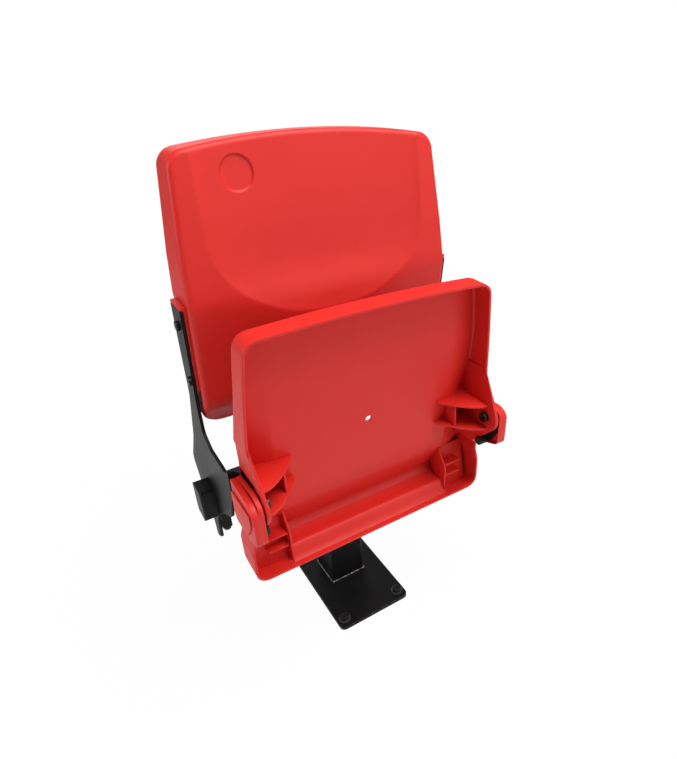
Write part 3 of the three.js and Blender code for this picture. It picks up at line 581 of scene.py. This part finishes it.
BACK_PROFILE = [
    (BACK_FOOT, BACK_FOOT_FRONT),
    (BACK_BEND_Z, BACK_BEND_FRONT),
    (BACK_DEEP_Z, BACK_DEEP_FRONT),
    (BACK_TOP, BACK_TOP_FRONT),
]


def eased_profile(stops, z, ease):
    """The profile's corners are eased by averaging it over a short height."""
    steps = 6
    return sum(along(stops, z + ease * (2 * step / steps - 1)) for step in range(steps + 1)) / (steps + 1)


def back_face(x, z):
    face = eased_profile(BACK_PROFILE, z, BACK_EASE)
    across = 1.0 - smooth((abs(x) - BELLY_HALF + BELLY_EASE) / BELLY_EASE)
    rising = smooth((z - BACK_BEND_Z) / (BACK_DEEP_Z - BACK_BEND_Z))
    falling = smooth((BELLY_TOP_Z - z) / BELLY_FADE)
    face -= BELLY_OUT * across * rising * falling
    below = max(0.0, SHIELD_MID_Z - z) / SHIELD_DROP
    inside = max(0.0, 1.0 - (x / SHIELD_HALF) ** 2 - below**2)
    face += SHIELD_SCOOP * inside**SHIELD_POWER
    away = math.hypot(x - NUMBER_X, z - NUMBER_Z) - NUMBER_RADIUS
    return face + NUMBER_DEEP * smooth(0.5 - away / NUMBER_EDGE)


def back_lean(x, z, y):
    share = BACK_LEAN_SHARE * smooth((z - BACK_LOW_Z) / BACK_LEAN_FADE) * (y - BACK_TOP_FRONT)
    return Vector((share * x / BACK_MID_HALF, 0.0, share * (z - BACK_LOW_Z) / (BACK_TOP - BACK_LOW_Z)))


def back_rear(z):
    return mix(BACK_MID_REAR, BACK_TOP_REAR, min(1.0, max(0.0, (z - BACK_LOW_Z) / (BACK_TOP - BACK_LOW_Z))))


# Where the grid's lines go: (share of the grid, share of the shell), from -1 to 1 across and 0 to 1 up.
BACK_COLUMN_SHARES = [(-1.0, -1.0), (-0.75, -0.72), (-0.13, -0.41), (0.9, 0.92), (1.0, 1.0)]
BACK_ROW_SHARES = [(-1.0, 0.0), (-0.8, 0.05), (0.15, 0.80), (0.75, 0.945), (1.0, 1.0)]


def back_place(share_x, share_z, ring):
    """Where a point of the backrest's tray goes."""
    inset_share, back_share, wall_share = ring
    inset = BACK_ROUND * inset_share
    column = along(BACK_COLUMN_SHARES, share_x)
    row = along(BACK_ROW_SHARES, share_z)
    side_top = BACK_TOP - BACK_CROWN
    z = mix(BACK_FOOT + inset, side_top - inset, row)
    drop = corner_drop(z, side_top - inset, BACK_CORNER - inset, 1.0)
    drop += corner_drop(z, BACK_FOOT + inset, BACK_LOW_CORNER - inset, -1.0)
    x = column * (back_half(z) - inset - drop)
    rising = smooth((z - BACK_MID_Z) / (side_top - BACK_MID_Z))
    z += BACK_CROWN * (1.0 - (x / BACK_TOP_HALF) ** 2) * rising
    face = back_face(x, z)
    face += BACK_ROUND * back_share * min(1.0, (back_rear(z) - face) / BACK_ROUND_FADE)
    y = mix(face, back_rear(z), wall_share)
    return Vector((x, y, z)) + back_lean(x, z, y)


# %% Build the backrest
CORNER_STEPS = 5
WALL_STEPS = 5
BACK_GRID = (168, 176)
SHELL_ROUND = 0.0011
SHELL_EDGE_DEGREES = 55.0


def tray_rings():
    rings = [(inset, back, 0.0) for inset, back in rounding(CORNER_STEPS)]
    return rings + [(0.0, 1.0, (step + 1) / WALL_STEPS) for step in range(WALL_STEPS)]


def moulded_shell(name, bm, node, wall):
    """A tray becomes a moulding: as thick as its wall, and with a small round along its open edge."""
    shell = place_piece(name, bm, body_of[node], "seat_plastic", [node], sharp_degrees=SHELL_SHARP)
    add_modifier(shell, "SOLIDIFY", thickness=wall, offset=-1.0, use_even_offset=True)
    least = math.radians(SHELL_EDGE_DEGREES)
    add_modifier(shell, "BEVEL", width=SHELL_ROUND, segments=2, limit_method="ANGLE", angle_limit=least)
    return shell


back_bm = tray(*BACK_GRID, back_place, tray_rings())
face_outward(back_bm, Vector((0.0, -1.0, 0.0)))
back_shell = moulded_shell("back_shell", back_bm, "backrest", BACK_WALL)
print("backrest", len(back_shell.data.polygons), "faces")

# %% [markdown]
# ## The seat pan
#
# Stowed, the pan shows its underside: a wide hollow with a rim round it. The pan is again a tray, but its
# face is the sitting side, so the walls come forward. At the hinge it narrows to a neck, and its tail widens
# again below.

# %% Seat pan sizes
PAN_TOP = hinge.z + 0.2445
PAN_FOOT = hinge.z - 0.1765
PAN_CROWN = 0.006
PAN_TOP_HALF = 0.1935
PAN_KINK_HALF = 0.208
PAN_NECK_HALF = 0.206
PAN_BOW = 0.0015
PAN_TAIL_NECK_HALF = 0.213
PAN_TAIL_HALF = 0.2195
PAN_KINK_Z = hinge.z + 0.079
PAN_DRAFT_Z = hinge.z + 0.028
PAN_SHOULDER_Z = hinge.z - 0.068
PAN_NECK_Z = hinge.z - 0.091
PAN_FULL_Z = hinge.z - 0.117
PAN_CORNER = 0.018
PAN_TAIL_CORNER = 0.021
PAN_ROUND = 0.009
PAN_FOOT_ROUND = 0.0045
PAN_WALL = 0.0036
PAN_KINK_EASE = 0.008
PAN_SHOULDER_EASE = 0.002
PAN_RIM_EASE = 0.006
PAN_FOOT_ROUND_SHARE = 0.125
PAN_SITTING = hinge.y + 0.040
PAN_FOLD = 0.158
PAN_FOLD_EASE = 1.25
PAN_DRAFT_SHARE = 0.04
PAN_DRAFT_FADE = 0.060
PAN_TAIL = [
    (PAN_FOOT, PAN_TAIL_HALF),
    (PAN_FULL_Z, PAN_TAIL_HALF),
    (PAN_NECK_Z, PAN_TAIL_NECK_HALF),
]
PAN_RIM = [
    (PAN_FOOT, hinge.y + 0.036),
    (PAN_SHOULDER_Z, hinge.y + 0.034),
    (hinge.z - 0.031, hinge.y + 0.006),
    (PAN_KINK_Z + 0.004, hinge.y + 0.0112),
    (PAN_TOP, hinge.y - 0.0027),
]
# Heights over the hinge, and how far the floor and the top of its raised sides lie behind the flat part.
PAN_FLOOR_DEPTHS = [
    (-0.1765, 0.018), (-0.172, 0.028), (-0.157, 0.048), (-0.140, 0.066), (-0.110, 0.051),
    (-0.087, 0.0347), (-0.057, 0.027), (-0.017, 0.0218), (0.025, 0.0163), (0.058, 0.013),
    (0.098, 0.008), (0.158, 0.002), (0.202, 0.0), (0.2445, 0.0),
]
PAN_SIDE_DEPTHS = [
    (-0.1765, 0.0506), (-0.157, 0.0532), (-0.140, 0.0575), (-0.117, 0.058), (-0.091, 0.0558),
    (-0.068, 0.0503), (0.0, 0.044), (0.058, 0.031), (0.098, 0.018), (0.158, 0.006), (0.2445, 0.0),
]
PAN_DEPTH_EASE = 0.009


# %% Seat pan form
def pan_half(z):
    if z > PAN_KINK_Z:
        share = (PAN_TOP - PAN_CROWN - z) / (PAN_TOP - PAN_CROWN - PAN_KINK_Z)
        return mix(PAN_TOP_HALF, PAN_KINK_HALF, share) + PAN_BOW * 4.0 * share * (1.0 - share)
    if z > PAN_SHOULDER_Z:
        widened = smooth((z - PAN_KINK_Z + PAN_KINK_EASE) / PAN_KINK_EASE)
        return mix(PAN_NECK_HALF, PAN_KINK_HALF, widened)
    narrowed = smooth((z - PAN_SHOULDER_Z + PAN_SHOULDER_EASE) / PAN_SHOULDER_EASE)
    return mix(along(PAN_TAIL, z), PAN_NECK_HALF, narrowed)


def pan_surface(x, z):
    """The sitting side: a flat floor with a turned-up end, folded up towards the walls."""
    floor = eased_profile(PAN_FLOOR_DEPTHS, z - hinge.z, PAN_DEPTH_EASE)
    side = eased_profile(PAN_SIDE_DEPTHS, z - hinge.z, PAN_DEPTH_EASE)
    folded = max(0.0, (abs(x) - PAN_FOLD) / (pan_half(z) - PAN_FOLD)) ** PAN_FOLD_EASE
    return PAN_SITTING + mix(floor, side, min(1.0, folded))


def pan_lean(x, z, y):
    share = PAN_DRAFT_SHARE * smooth((z - PAN_DRAFT_Z) / PAN_DRAFT_FADE) * (y - PAN_RIM[-1][1])
    return Vector((share * x / PAN_TOP_HALF, 0.0, share * (z - PAN_KINK_Z) / (PAN_TOP - PAN_KINK_Z)))


PAN_COLUMN_SHARES = [(-1.0, -1.0), (-0.9, -0.94), (-0.1, -0.05), (0.1, 0.05), (0.9, 0.94), (1.0, 1.0)]
PAN_ROW_SHARES = [
    (-1.0, 0.0), (-0.8, 0.06), (-0.55, 0.24), (-0.4, 0.27),
    (0.0, 0.50), (0.15, 0.545), (0.85, 0.94), (1.0, 1.0),
]


def pan_place(share_x, share_z, ring):
    """Where a point of the pan's tray goes."""
    inset_share, back_share, wall_share = ring
    column = along(PAN_COLUMN_SHARES, share_x)
    row = along(PAN_ROW_SHARES, share_z)
    side_top = PAN_TOP - PAN_CROWN
    rounded = mix(PAN_FOOT_ROUND, PAN_ROUND, smooth(row / PAN_FOOT_ROUND_SHARE))
    inset = rounded * inset_share
    foot_inset = PAN_FOOT_ROUND * inset_share
    top_inset = PAN_ROUND * inset_share
    z = mix(PAN_FOOT + foot_inset, side_top - top_inset, row)
    drop = corner_drop(z, side_top - top_inset, PAN_CORNER - top_inset, 1.0)
    drop += corner_drop(z, PAN_FOOT + foot_inset, PAN_TAIL_CORNER - foot_inset, -1.0)
    x = column * (pan_half(z) - inset - drop)
    crown = PAN_CROWN * (1.0 - (x / PAN_TOP_HALF) ** 2) * smooth((z - PAN_KINK_Z) / (side_top - PAN_KINK_Z))
    z += max(0.0, crown)
    face = pan_surface(x, z) - rounded * back_share
    y = mix(face, eased_profile(PAN_RIM, z, PAN_RIM_EASE), wall_share)
    return Vector((x, y, z)) + pan_lean(x, z, y)


# %% Build the pan
PAN_GRID = (150, 170)
DRAIN_Z = hinge.z + 0.042
DRAIN_RADIUS = 0.0054


def cut_drain(bm):
    """Opens the floor: the nearest points are taken out, and the ones round them move onto a circle."""
    def away(vert):
        return Vector((vert.co.x, 0.0, vert.co.z - DRAIN_Z))

    near = [vert for vert in bm.verts if away(vert).length < DRAIN_RADIUS]
    around = {other for vert in near for face in vert.link_faces for other in face.verts} - set(near)
    bmesh.ops.delete(bm, geom=near, context="VERTS")
    for vert in around:
        spoke = away(vert)
        vert.co += spoke * (DRAIN_RADIUS / spoke.length - 1.0)


pan_bm = tray(*PAN_GRID, pan_place, tray_rings())
cut_drain(pan_bm)
face_outward(pan_bm, Vector((0.0, 1.0, 0.0)))
pan_shell = moulded_shell("pan_shell", pan_bm, "seat_pan", PAN_WALL)
print("pan", len(pan_shell.data.polygons), "faces")

# %% [markdown]
# ## Lugs, webs and ribs
#
# Thin plates stiffen the pan on each side: a lug for the hinge, two webs beside it with a short rib across
# them, and a rib, two ledges and a panel at the tail. Each is a flat outline, filled, extruded to its
# thickness and given a small round all along its edges. The roll along the tail is made the same way.

# %% Plates from an outline
PLATE_ROUND = 0.0008


def plate(bm, points, axis, start, end, round_by=PLATE_ROUND, hole=()):
    """Adds a flat piece. points are (a, b) across the other two axes, and hole is another such outline."""
    others = [index for index in range(3) if index != axis]

    def point(pair):
        place = [0.0, 0.0, 0.0]
        place[others[0]], place[others[1]] = pair
        place[axis] = start
        return bm.verts.new(place)

    edges = []
    for loop in (points, hole):
        ring = [point(pair) for pair in loop]
        edges += [bm.edges.new((ring[index - 1], ring[index])) for index in range(len(ring))]
    filled = bmesh.ops.triangle_fill(bm, use_beauty=True, use_dissolve=False, edges=edges)["geom"]
    faces = [item for item in filled if isinstance(item, bmesh.types.BMFace)]
    grown = bmesh.ops.extrude_face_region(bm, geom=faces, use_keep_orig=True)["geom"]
    moved = [item for item in grown if isinstance(item, bmesh.types.BMVert)]
    step = [0.0, 0.0, 0.0]
    step[axis] = end - start
    bmesh.ops.translate(bm, verts=moved, vec=step)
    verts = list({vert for face in faces for vert in face.verts} | set(moved))
    faces = list({face for vert in verts for face in vert.link_faces})
    bmesh.ops.recalc_face_normals(bm, faces=faces)
    least = math.radians(EDGE_DEGREES)
    sharp = [edge for face in faces for edge in face.edges if edge.calc_face_angle(0.0) > least]
    if round_by:
        made = bmesh.ops.bevel(
            bm, geom=list(set(sharp)), offset=round_by, segments=2, profile=0.5, affect="EDGES", material=-1,
            clamp_overlap=True,
        )
        kept = {vert for vert in verts if vert.is_valid}
        verts = list({vert for face in made["faces"] for vert in face.verts} | kept)
    return verts


def rectangle(first_a, last_a, first_b, last_b):
    """Its four corners, in order round it."""
    return [(first_a, first_b), (last_a, first_b), (last_a, last_b), (first_a, last_b)]


def arc(centre, radius, first, last, steps):
    """Points round a centre, from one angle to another in degrees."""
    angles = [math.radians(mix(first, last, step / steps)) for step in range(steps + 1)]
    return [(centre[0] + radius * math.cos(angle), centre[1] + radius * math.sin(angle)) for angle in angles]


# %% Lugs, webs, ribs and ledges
LUG_ROUND = 0.027
LUG_BORE = 0.0086
LUG_SOFT = 0.0016
LUG_THICK = 0.007
LUG_INNER = PAN_NECK_HALF - LUG_THICK
LUG_REAR = PAN_SITTING + 0.030
LUG_TOP = (hinge.y + 0.011, PAN_KINK_Z + 0.006)
LUG_FOOT = (hinge.y + 0.034, PAN_SHOULDER_Z)
LUG_STEPS = 12
BORE_POINTS = 48
WEB_THICK = 0.0032
WEB_START = LUG_INNER + LUG_THICK / 2
WEB_REACH = 0.0695
WEB_FRONT = hinge.y - 0.005
WEB_TIP = hinge.y + 0.051
WEB_SWEEP = 1.9
WEB_LEVELS = [(hinge.z + 0.022, 0.003), (hinge.z - 0.023, 0.007)]
CROSS_RIB_HALF = 0.156
CROSS_RIB_BACK = 0.004
RIB_HALF = PAN_TAIL_NECK_HALF - 0.0595
RIB_FRONT = hinge.y + 0.048
RIB_EDGE = [(RIB_FRONT + 0.002, -0.1745), (RIB_FRONT, -0.125), (RIB_FRONT + 0.003, -0.113),
            (RIB_FRONT + 0.009, -0.104), (RIB_FRONT + 0.0225, -0.086)]
LEDGE_LEVELS = (hinge.z - 0.143, hinge.z - 0.119)
LEDGE_FRONT = hinge.y + 0.053
LEDGE_OUTER = PAN_TAIL_NECK_HALF - 0.022
PANEL_FRONT = hinge.y + 0.062
PANEL_TOP = hinge.z - 0.092
ROLL_OUTLINE = [
    (0.105, -0.1395), (0.0985, -0.1445), (0.090, -0.149), (0.081, -0.151), (0.070, -0.1508),
    (0.0635, -0.1495), (0.0585, -0.1515), (0.0555, -0.157), (0.0530, -0.165), (0.0495, -0.170),
    (0.043, -0.1735), (0.066, -0.1745), (0.078, -0.170), (0.092, -0.156),
]


def tangent_angles(point, radius):
    """The angles, round the hinge, of the two points where lines from a point just touch a circle."""
    away = Vector((point[0] - hinge.y, point[1] - hinge.z))
    middle = math.degrees(math.atan2(away.y, away.x))
    spread = math.degrees(math.acos(radius / away.length))
    return middle - spread, middle + spread


def lug_outline():
    first = tangent_angles(LUG_TOP, LUG_ROUND)[1]
    last = tangent_angles(LUG_FOOT, LUG_ROUND)[0] + 360.0
    front = arc((hinge.y, hinge.z), LUG_ROUND, first, last, LUG_STEPS)
    return [(LUG_REAR, LUG_TOP[1]), LUG_TOP, *front, LUG_FOOT, (LUG_REAR, LUG_FOOT[1])]


def fade_lug(verts, side):
    """Takes the top of a lug's inner face back to the pan's wall."""
    for vert in verts:
        if vert.co.z > PAN_KINK_Z - LUG_SOFT and abs(vert.co.x) < PAN_NECK_HALF - PAN_WALL:
            vert.co.x = side * (PAN_KINK_HALF - PAN_WALL)


def web_outline(side, level, climb):
    """The web's front edge sweeps back to a tip on the floor, and its rear follows the floor."""
    steps = 14
    front, rear = [], []
    for step in range(steps + 1):
        share = step / steps
        x = WEB_START - WEB_REACH * share
        floor = pan_surface(x, level + climb * share) - PAN_WALL / 2
        front.append((side * x, mix(WEB_FRONT, WEB_TIP, share**WEB_SWEEP)))
        rear.append((side * x, max(floor, front[-1][1] + WEB_THICK)))
    return front + rear[::-1]


def slope_web(verts, climb):
    for vert in verts:
        vert.co.z += climb * (WEB_START - abs(vert.co.x)) / WEB_REACH


def cross_rib_outline():
    share = (WEB_START - CROSS_RIB_HALF) / WEB_REACH
    (upper, upper_climb), (lower, lower_climb) = WEB_LEVELS
    top = upper + upper_climb * share
    foot = lower + lower_climb * share
    rear = WEB_TIP + WEB_THICK
    front = mix(WEB_FRONT, rear, share**WEB_SWEEP) + CROSS_RIB_BACK
    return rectangle(rear, front, foot, top)


def rib_outline():
    front = [(y, hinge.z + rise) for y, rise in RIB_EDGE]
    rear = [(pan_surface(RIB_HALF, z) - PAN_WALL / 2, z) for _, z in front]
    return front + rear[::-1]


def lean_panel(verts):
    """Leans the top of a tail corner's panel back until it meets the floor."""
    for vert in verts:
        if vert.co.z > PANEL_TOP - WEB_THICK:
            vert.co.y += pan_surface(RIB_HALF, PANEL_TOP) - PANEL_FRONT


def build_fittings(side):
    """All plates on one side of the pan."""
    bm = bmesh.new()
    inner, outer = sorted((side * LUG_INNER, side * PAN_NECK_HALF))
    steps = BORE_POINTS - 1
    bore = arc((hinge.y, hinge.z), LUG_BORE, 0.0, 360.0 * steps / BORE_POINTS, steps)
    fade_lug(plate(bm, lug_outline(), 0, inner, outer, round_by=LUG_SOFT, hole=bore), side)
    for level, climb in WEB_LEVELS:
        outline = web_outline(side, level, climb)
        verts = plate(bm, outline, 2, level - WEB_THICK / 2, level + WEB_THICK / 2)
        slope_web(verts, climb)
    for half, outline in ((RIB_HALF, rib_outline()), (CROSS_RIB_HALF, cross_rib_outline())):
        ends = sorted((side * (half - WEB_THICK / 2), side * (half + WEB_THICK / 2)))
        plate(bm, outline, 0, *ends)
    for z in LEDGE_LEVELS:
        rear = pan_surface(RIB_HALF, z) - PAN_WALL / 2
        outline = rectangle(side * RIB_HALF, side * LEDGE_OUTER, LEDGE_FRONT, rear)
        plate(bm, outline, 2, z, z + WEB_THICK)
    foot = PAN_FOOT + PAN_WALL / 2
    outline = rectangle(side * RIB_HALF, side * (PAN_TAIL_NECK_HALF - PAN_WALL / 2), foot, PANEL_TOP)
    lean_panel(plate(bm, outline, 1, PANEL_FRONT, PANEL_FRONT + WEB_THICK))
    return bm


for label, side in SIDES.items():
    fittings = build_fittings(side)
    place_piece(f"pan_fittings_{label}", fittings, body_of["seat_pan"], "seat_plastic", ["seat_pan"])

roll_bm = bmesh.new()
outline = [(hinge.y + y, hinge.z + z) for y, z in ROLL_OUTLINE]
plate(roll_bm, outline, 0, -RIB_HALF, RIB_HALF, round_by=0.0)
place_piece(
    "pan_roll", roll_bm, body_of["seat_pan"], "seat_plastic", ["seat_pan"], sharp_degrees=SHELL_SHARP,
)

# %% [markdown]
# ## The backrest's pads
#
# On each side a pad fills the gap between the moulding and the bracket's strip, and a small roof on the pad
# lies over the strip's end.

# %% Backrest pads
PAD_FRONT = -0.057
PAD_INTO = 0.004
PAD_REAR = -0.007
PAD_FOOT = hinge.z + 0.105
STRIP_TOP = hinge.z + 0.238
PAD_INNER = BACK_LOW_HALF - 0.010
PAD_FACE = 0.2202
PAD_OUTER = 0.2255
PAD_ROOF = 0.005
PAD_GAP = 0.0003
PAD_SOFT = 0.0015


def build_pad(side):
    bm = bmesh.new()
    roof = STRIP_TOP + PAD_GAP
    corners = [(PAD_INNER, PAD_FOOT), (PAD_FACE, PAD_FOOT), (PAD_FACE, roof), (PAD_OUTER, roof),
               (PAD_OUTER, roof + PAD_ROOF), (PAD_INNER, roof + PAD_ROOF)]
    plate(bm, [(side * x, z) for x, z in corners], 1, PAD_FRONT, PAD_REAR, round_by=PAD_SOFT)
    for vert in bm.verts:
        face = along(BACK_PROFILE, vert.co.z)
        vert.co.y = max(vert.co.y, face + BACK_ROUND + PAD_INTO)
    return bm


for label, side in SIDES.items():
    place_piece(f"back_pad_{label}", build_pad(side), body_of["backrest"], "seat_plastic", ["backrest"])

# %% [markdown]
# ## Hinge covers
#
# A cap over each hinge: a thick plate outside the arm, a raised block on it, and a rim that wraps the arm's
# nose.

# %% Covers
COVER_OUTER = 0.2248
COVER_BLOCK_OUTER = 0.2275
COVER_RIM_INNER = 0.2083
COVER_SOFT = 0.0016
COVER_RIM_THICK = 0.0018
# Each corner is (y, z, radius) from the hinge.
COVER_FOOT = [(-0.0245, -0.049, 0.008), (0.007, -0.0595, 0.008), (0.0596, -0.0595, 0.012)]
COVER_CORNERS = [(0.0596, 0.0175, 0.003), (-0.012, 0.0175, 0.008), (-0.0265, 0.007, 0.008), *COVER_FOOT]
RIM_CORNERS = [(0.0596, 0.0175, 0.003), (-0.004, 0.0250, 0.010), (-0.0265, 0.0125, 0.010), *COVER_FOOT]
BLOCK_CORNERS = [(0.057, -0.001, 0.003), (-0.019, 0.004, 0.007), (-0.019, -0.013, 0.007),
                 (0.007, -0.050, 0.007), (0.057, -0.050, 0.012)]


def rounded_corners(corners, inset=0.0):
    """A closed outline whose corners are curves, drawn in towards its middle by the inset."""
    total_y = sum(y for y, z, radius in corners)
    total_z = sum(z for y, z, radius in corners)
    middle = Vector((total_y, total_z)) / len(corners)
    points = []
    for index, (y, z, radius) in enumerate(corners):
        here = Vector((y, z))
        here -= (here - middle).normalized() * inset
        before = (Vector(corners[index - 1][:2]) - here).normalized()
        after = (Vector(corners[(index + 1) % len(corners)][:2]) - here).normalized()
        for step in range(CORNER_STEPS + 1):
            share = step / CORNER_STEPS
            first = here + before * radius * (1.0 - share)
            second = here + after * radius * share
            point = first.lerp(second, share)
            points.append((hinge.y + point.x, hinge.z + point.y))
    return points


def build_cover(side):
    """The plate of a cover, the rim on its inside and the block on its outside."""
    bm = bmesh.new()
    outer = rounded_corners(COVER_CORNERS)
    plate(bm, outer, 0, *sorted((side * ARM_OUTER, side * COVER_OUTER)), round_by=COVER_SOFT)
    rim = [side * COVER_RIM_INNER, side * (ARM_OUTER + COVER_SOFT)]
    hole = rounded_corners(RIM_CORNERS, COVER_RIM_THICK)
    plate(bm, rounded_corners(RIM_CORNERS), 0, *sorted(rim), round_by=COVER_RIM_THICK / 3, hole=hole)
    block = [side * (COVER_OUTER - COVER_SOFT), side * COVER_BLOCK_OUTER]
    plate(bm, rounded_corners(BLOCK_CORNERS), 0, *sorted(block), round_by=COVER_SOFT)
    return bm


for label, side in SIDES.items():
    node = f"hinge_cover_{label}"
    place_piece(f"{node}_piece", build_cover(side), body_of[node], "seat_plastic", [node])

# %% [markdown]
# ## The weld
#
# The post is welded to its plate. A small uneven bead runs round the foot, scuffed bright where boots
# touch it.

# %% Weld
WELD_HALF = 0.0375
WELD_WIDE = 0.0016
PLATE_TOP = 0.007
WELD_STEPS = 26
WELD_RIPPLE_SHARE = 0.25
WELD_RIPPLES = 34.0
WELD_SCUFF_SCALE = 320.0
WELD_SCUFF_SHARES = (0.42, 0.60)


def weld_look(value):
    scuffs = noise(value, WELD_SCUFF_SCALE, detail=4.0)
    bright = ranged(value, scuffs, *WELD_SCUFF_SHARES)
    return {
        "Base Color": blend_colours(value, bright, (0.05, 0.05, 0.05), (0.42, 0.42, 0.41)),
        "Metallic": 0.4,
        "Roughness": 0.4 + 0.2 * scuffs,
    }


def build_weld():
    """One bead laid along an edge of the post's foot, then three turned copies of it."""
    bm = bmesh.new()
    bmesh.ops.create_cone(
        bm, cap_ends=True, segments=8, radius1=WELD_WIDE, radius2=WELD_WIDE, depth=2 * WELD_HALF,
    )
    lengthwise = [edge for edge in bm.edges if abs(edge.verts[0].co.z - edge.verts[1].co.z) > WELD_HALF]
    bmesh.ops.subdivide_edges(bm, edges=lengthwise, cuts=WELD_STEPS)
    for vert in bm.verts:
        swell = 1.0 + WELD_RIPPLE_SHARE * math.sin(vert.co.z * WELD_RIPPLES / WELD_HALF)
        vert.co.x *= swell
        vert.co.y *= swell
    lay = Matrix.Rotation(math.pi / 2, 4, "X")
    bmesh.ops.transform(bm, matrix=Matrix.Translation((WELD_HALF, 0.0, PLATE_TOP)) @ lay, verts=bm.verts)
    bead = bm.verts[:] + bm.edges[:] + bm.faces[:]
    for turn in (1, 2, 3):
        copied = bmesh.ops.duplicate(bm, geom=bead)["geom"]
        verts = [item for item in copied if isinstance(item, bmesh.types.BMVert)]
        turned = Matrix.Rotation(turn * math.pi / 2, 3, "Z")
        bmesh.ops.rotate(bm, verts=verts, cent=(0.0, 0.0, 0.0), matrix=turned)
    return bm


weld_scuffed = material("weld_scuffed", weld_look)
place_piece("post_weld", build_weld(), body_of["post_tube"], "stand_steel", ["post_tube"], weld_scuffed)

# %% [markdown]
# ## The studio
#
# A pale floor fades into a white surround, under four soft lamps and an even sky. The floor's glow is there
# for the camera only: to all other rays the floor is plain pale paint, and so it gives no light of its own.

# %% Floor, sky and lamps
WHITE = (1.0, 1.0, 1.0, 1.0)
FLOOR_PAINT = (0.86, 0.86, 0.86, 1.0)
FLOOR_RADIUS = 14.0
GLOW_SHARE = 0.965
GLOW_FADE = (0.5, 1.6)
SKY_LIGHT_SHARE = 0.18
SEAT_MIDDLE = Vector((0.0, -0.1, 0.5))

# Each lamp's place, the length of its sides and its watts.
LAMPS = {
    "top_lamp": ((0.5, -0.7, 2.5), 1.5, 54.0),
    "side_lamp": ((-2.1, 0.45, 1.3), 1.2, 23.0),
    "rear_lamp": ((0.6, 2.2, 1.3), 1.6, 9.0),
    "front_lamp": ((1.1, -2.1, 1.2), 1.8, 15.0),
}


def floor_look(value):
    """A little short of white by the seat, and white farther off."""
    place = value.node("ShaderNodeTexCoord", output="Object")
    away = value.node("ShaderNodeVectorMath", output="Value", operation="LENGTH", sockets={0: place})
    return (GLOW_SHARE + (1.0 - GLOW_SHARE) * ranged(value, away, *GLOW_FADE)).clamped()


def make_floor():
    bm = bmesh.new()
    bmesh.ops.create_circle(bm, cap_ends=True, radius=FLOOR_RADIUS, segments=64)
    mesh = bpy.data.meshes.new("studio_floor")
    bm.to_mesh(mesh)
    bm.free()
    floor = bpy.data.objects.new("studio_floor", mesh)
    bpy.context.scene.collection.objects.link(floor)
    look = bpy.data.materials.new("studio_floor")
    look.use_nodes = True
    tree = look.node_tree
    tree.nodes.clear()
    value = Value(tree)
    paint = value.node("ShaderNodeBsdfDiffuse", sockets={"Color": FLOOR_PAINT})
    glow = value.node("ShaderNodeEmission", sockets={"Color": WHITE, "Strength": 1.0})
    seen = value.node("ShaderNodeLightPath", output="Is Camera Ray")
    mixed = value.node("ShaderNodeMixShader", sockets={0: seen * floor_look(value), 1: paint, 2: glow})
    out = tree.nodes.new("ShaderNodeOutputMaterial")
    tree.links.new(mixed.output, out.inputs["Surface"])
    mesh.materials.append(look)
    return floor


def make_sky():
    world = bpy.data.worlds.new("studio_sky")
    bpy.context.scene.world = world
    world.use_nodes = True
    tree = world.node_tree
    value = Value(tree)
    seen = value.node("ShaderNodeLightPath", output="Is Camera Ray")
    background = next(node for node in tree.nodes if node.type == "BACKGROUND")
    background.inputs["Color"].default_value = WHITE
    light = SKY_LIGHT_SHARE + (1.0 - SKY_LIGHT_SHARE) * seen
    tree.links.new(light.output, background.inputs["Strength"])


def make_lamp(name, place, size, power):
    lamp = bpy.data.lights.new(name, "AREA")
    lamp.size = size
    lamp.energy = power
    made = bpy.data.objects.new(name, lamp)
    bpy.context.scene.collection.objects.link(made)
    turned = (SEAT_MIDDLE - Vector(place)).to_track_quat("-Z", "Y").to_matrix().to_4x4()
    made.matrix_world = Matrix.Translation(Vector(place)) @ turned
    return made


make_floor()
make_sky()
for name, (place, size, power) in LAMPS.items():
    make_lamp(name, place, size, power)
print(len(LAMPS), "lamps")

# %% [markdown]
# ## The view
#
# Colours are shown through the standard view transform.

# %% Finish
bpy.context.scene.view_settings.view_transform = "Standard"
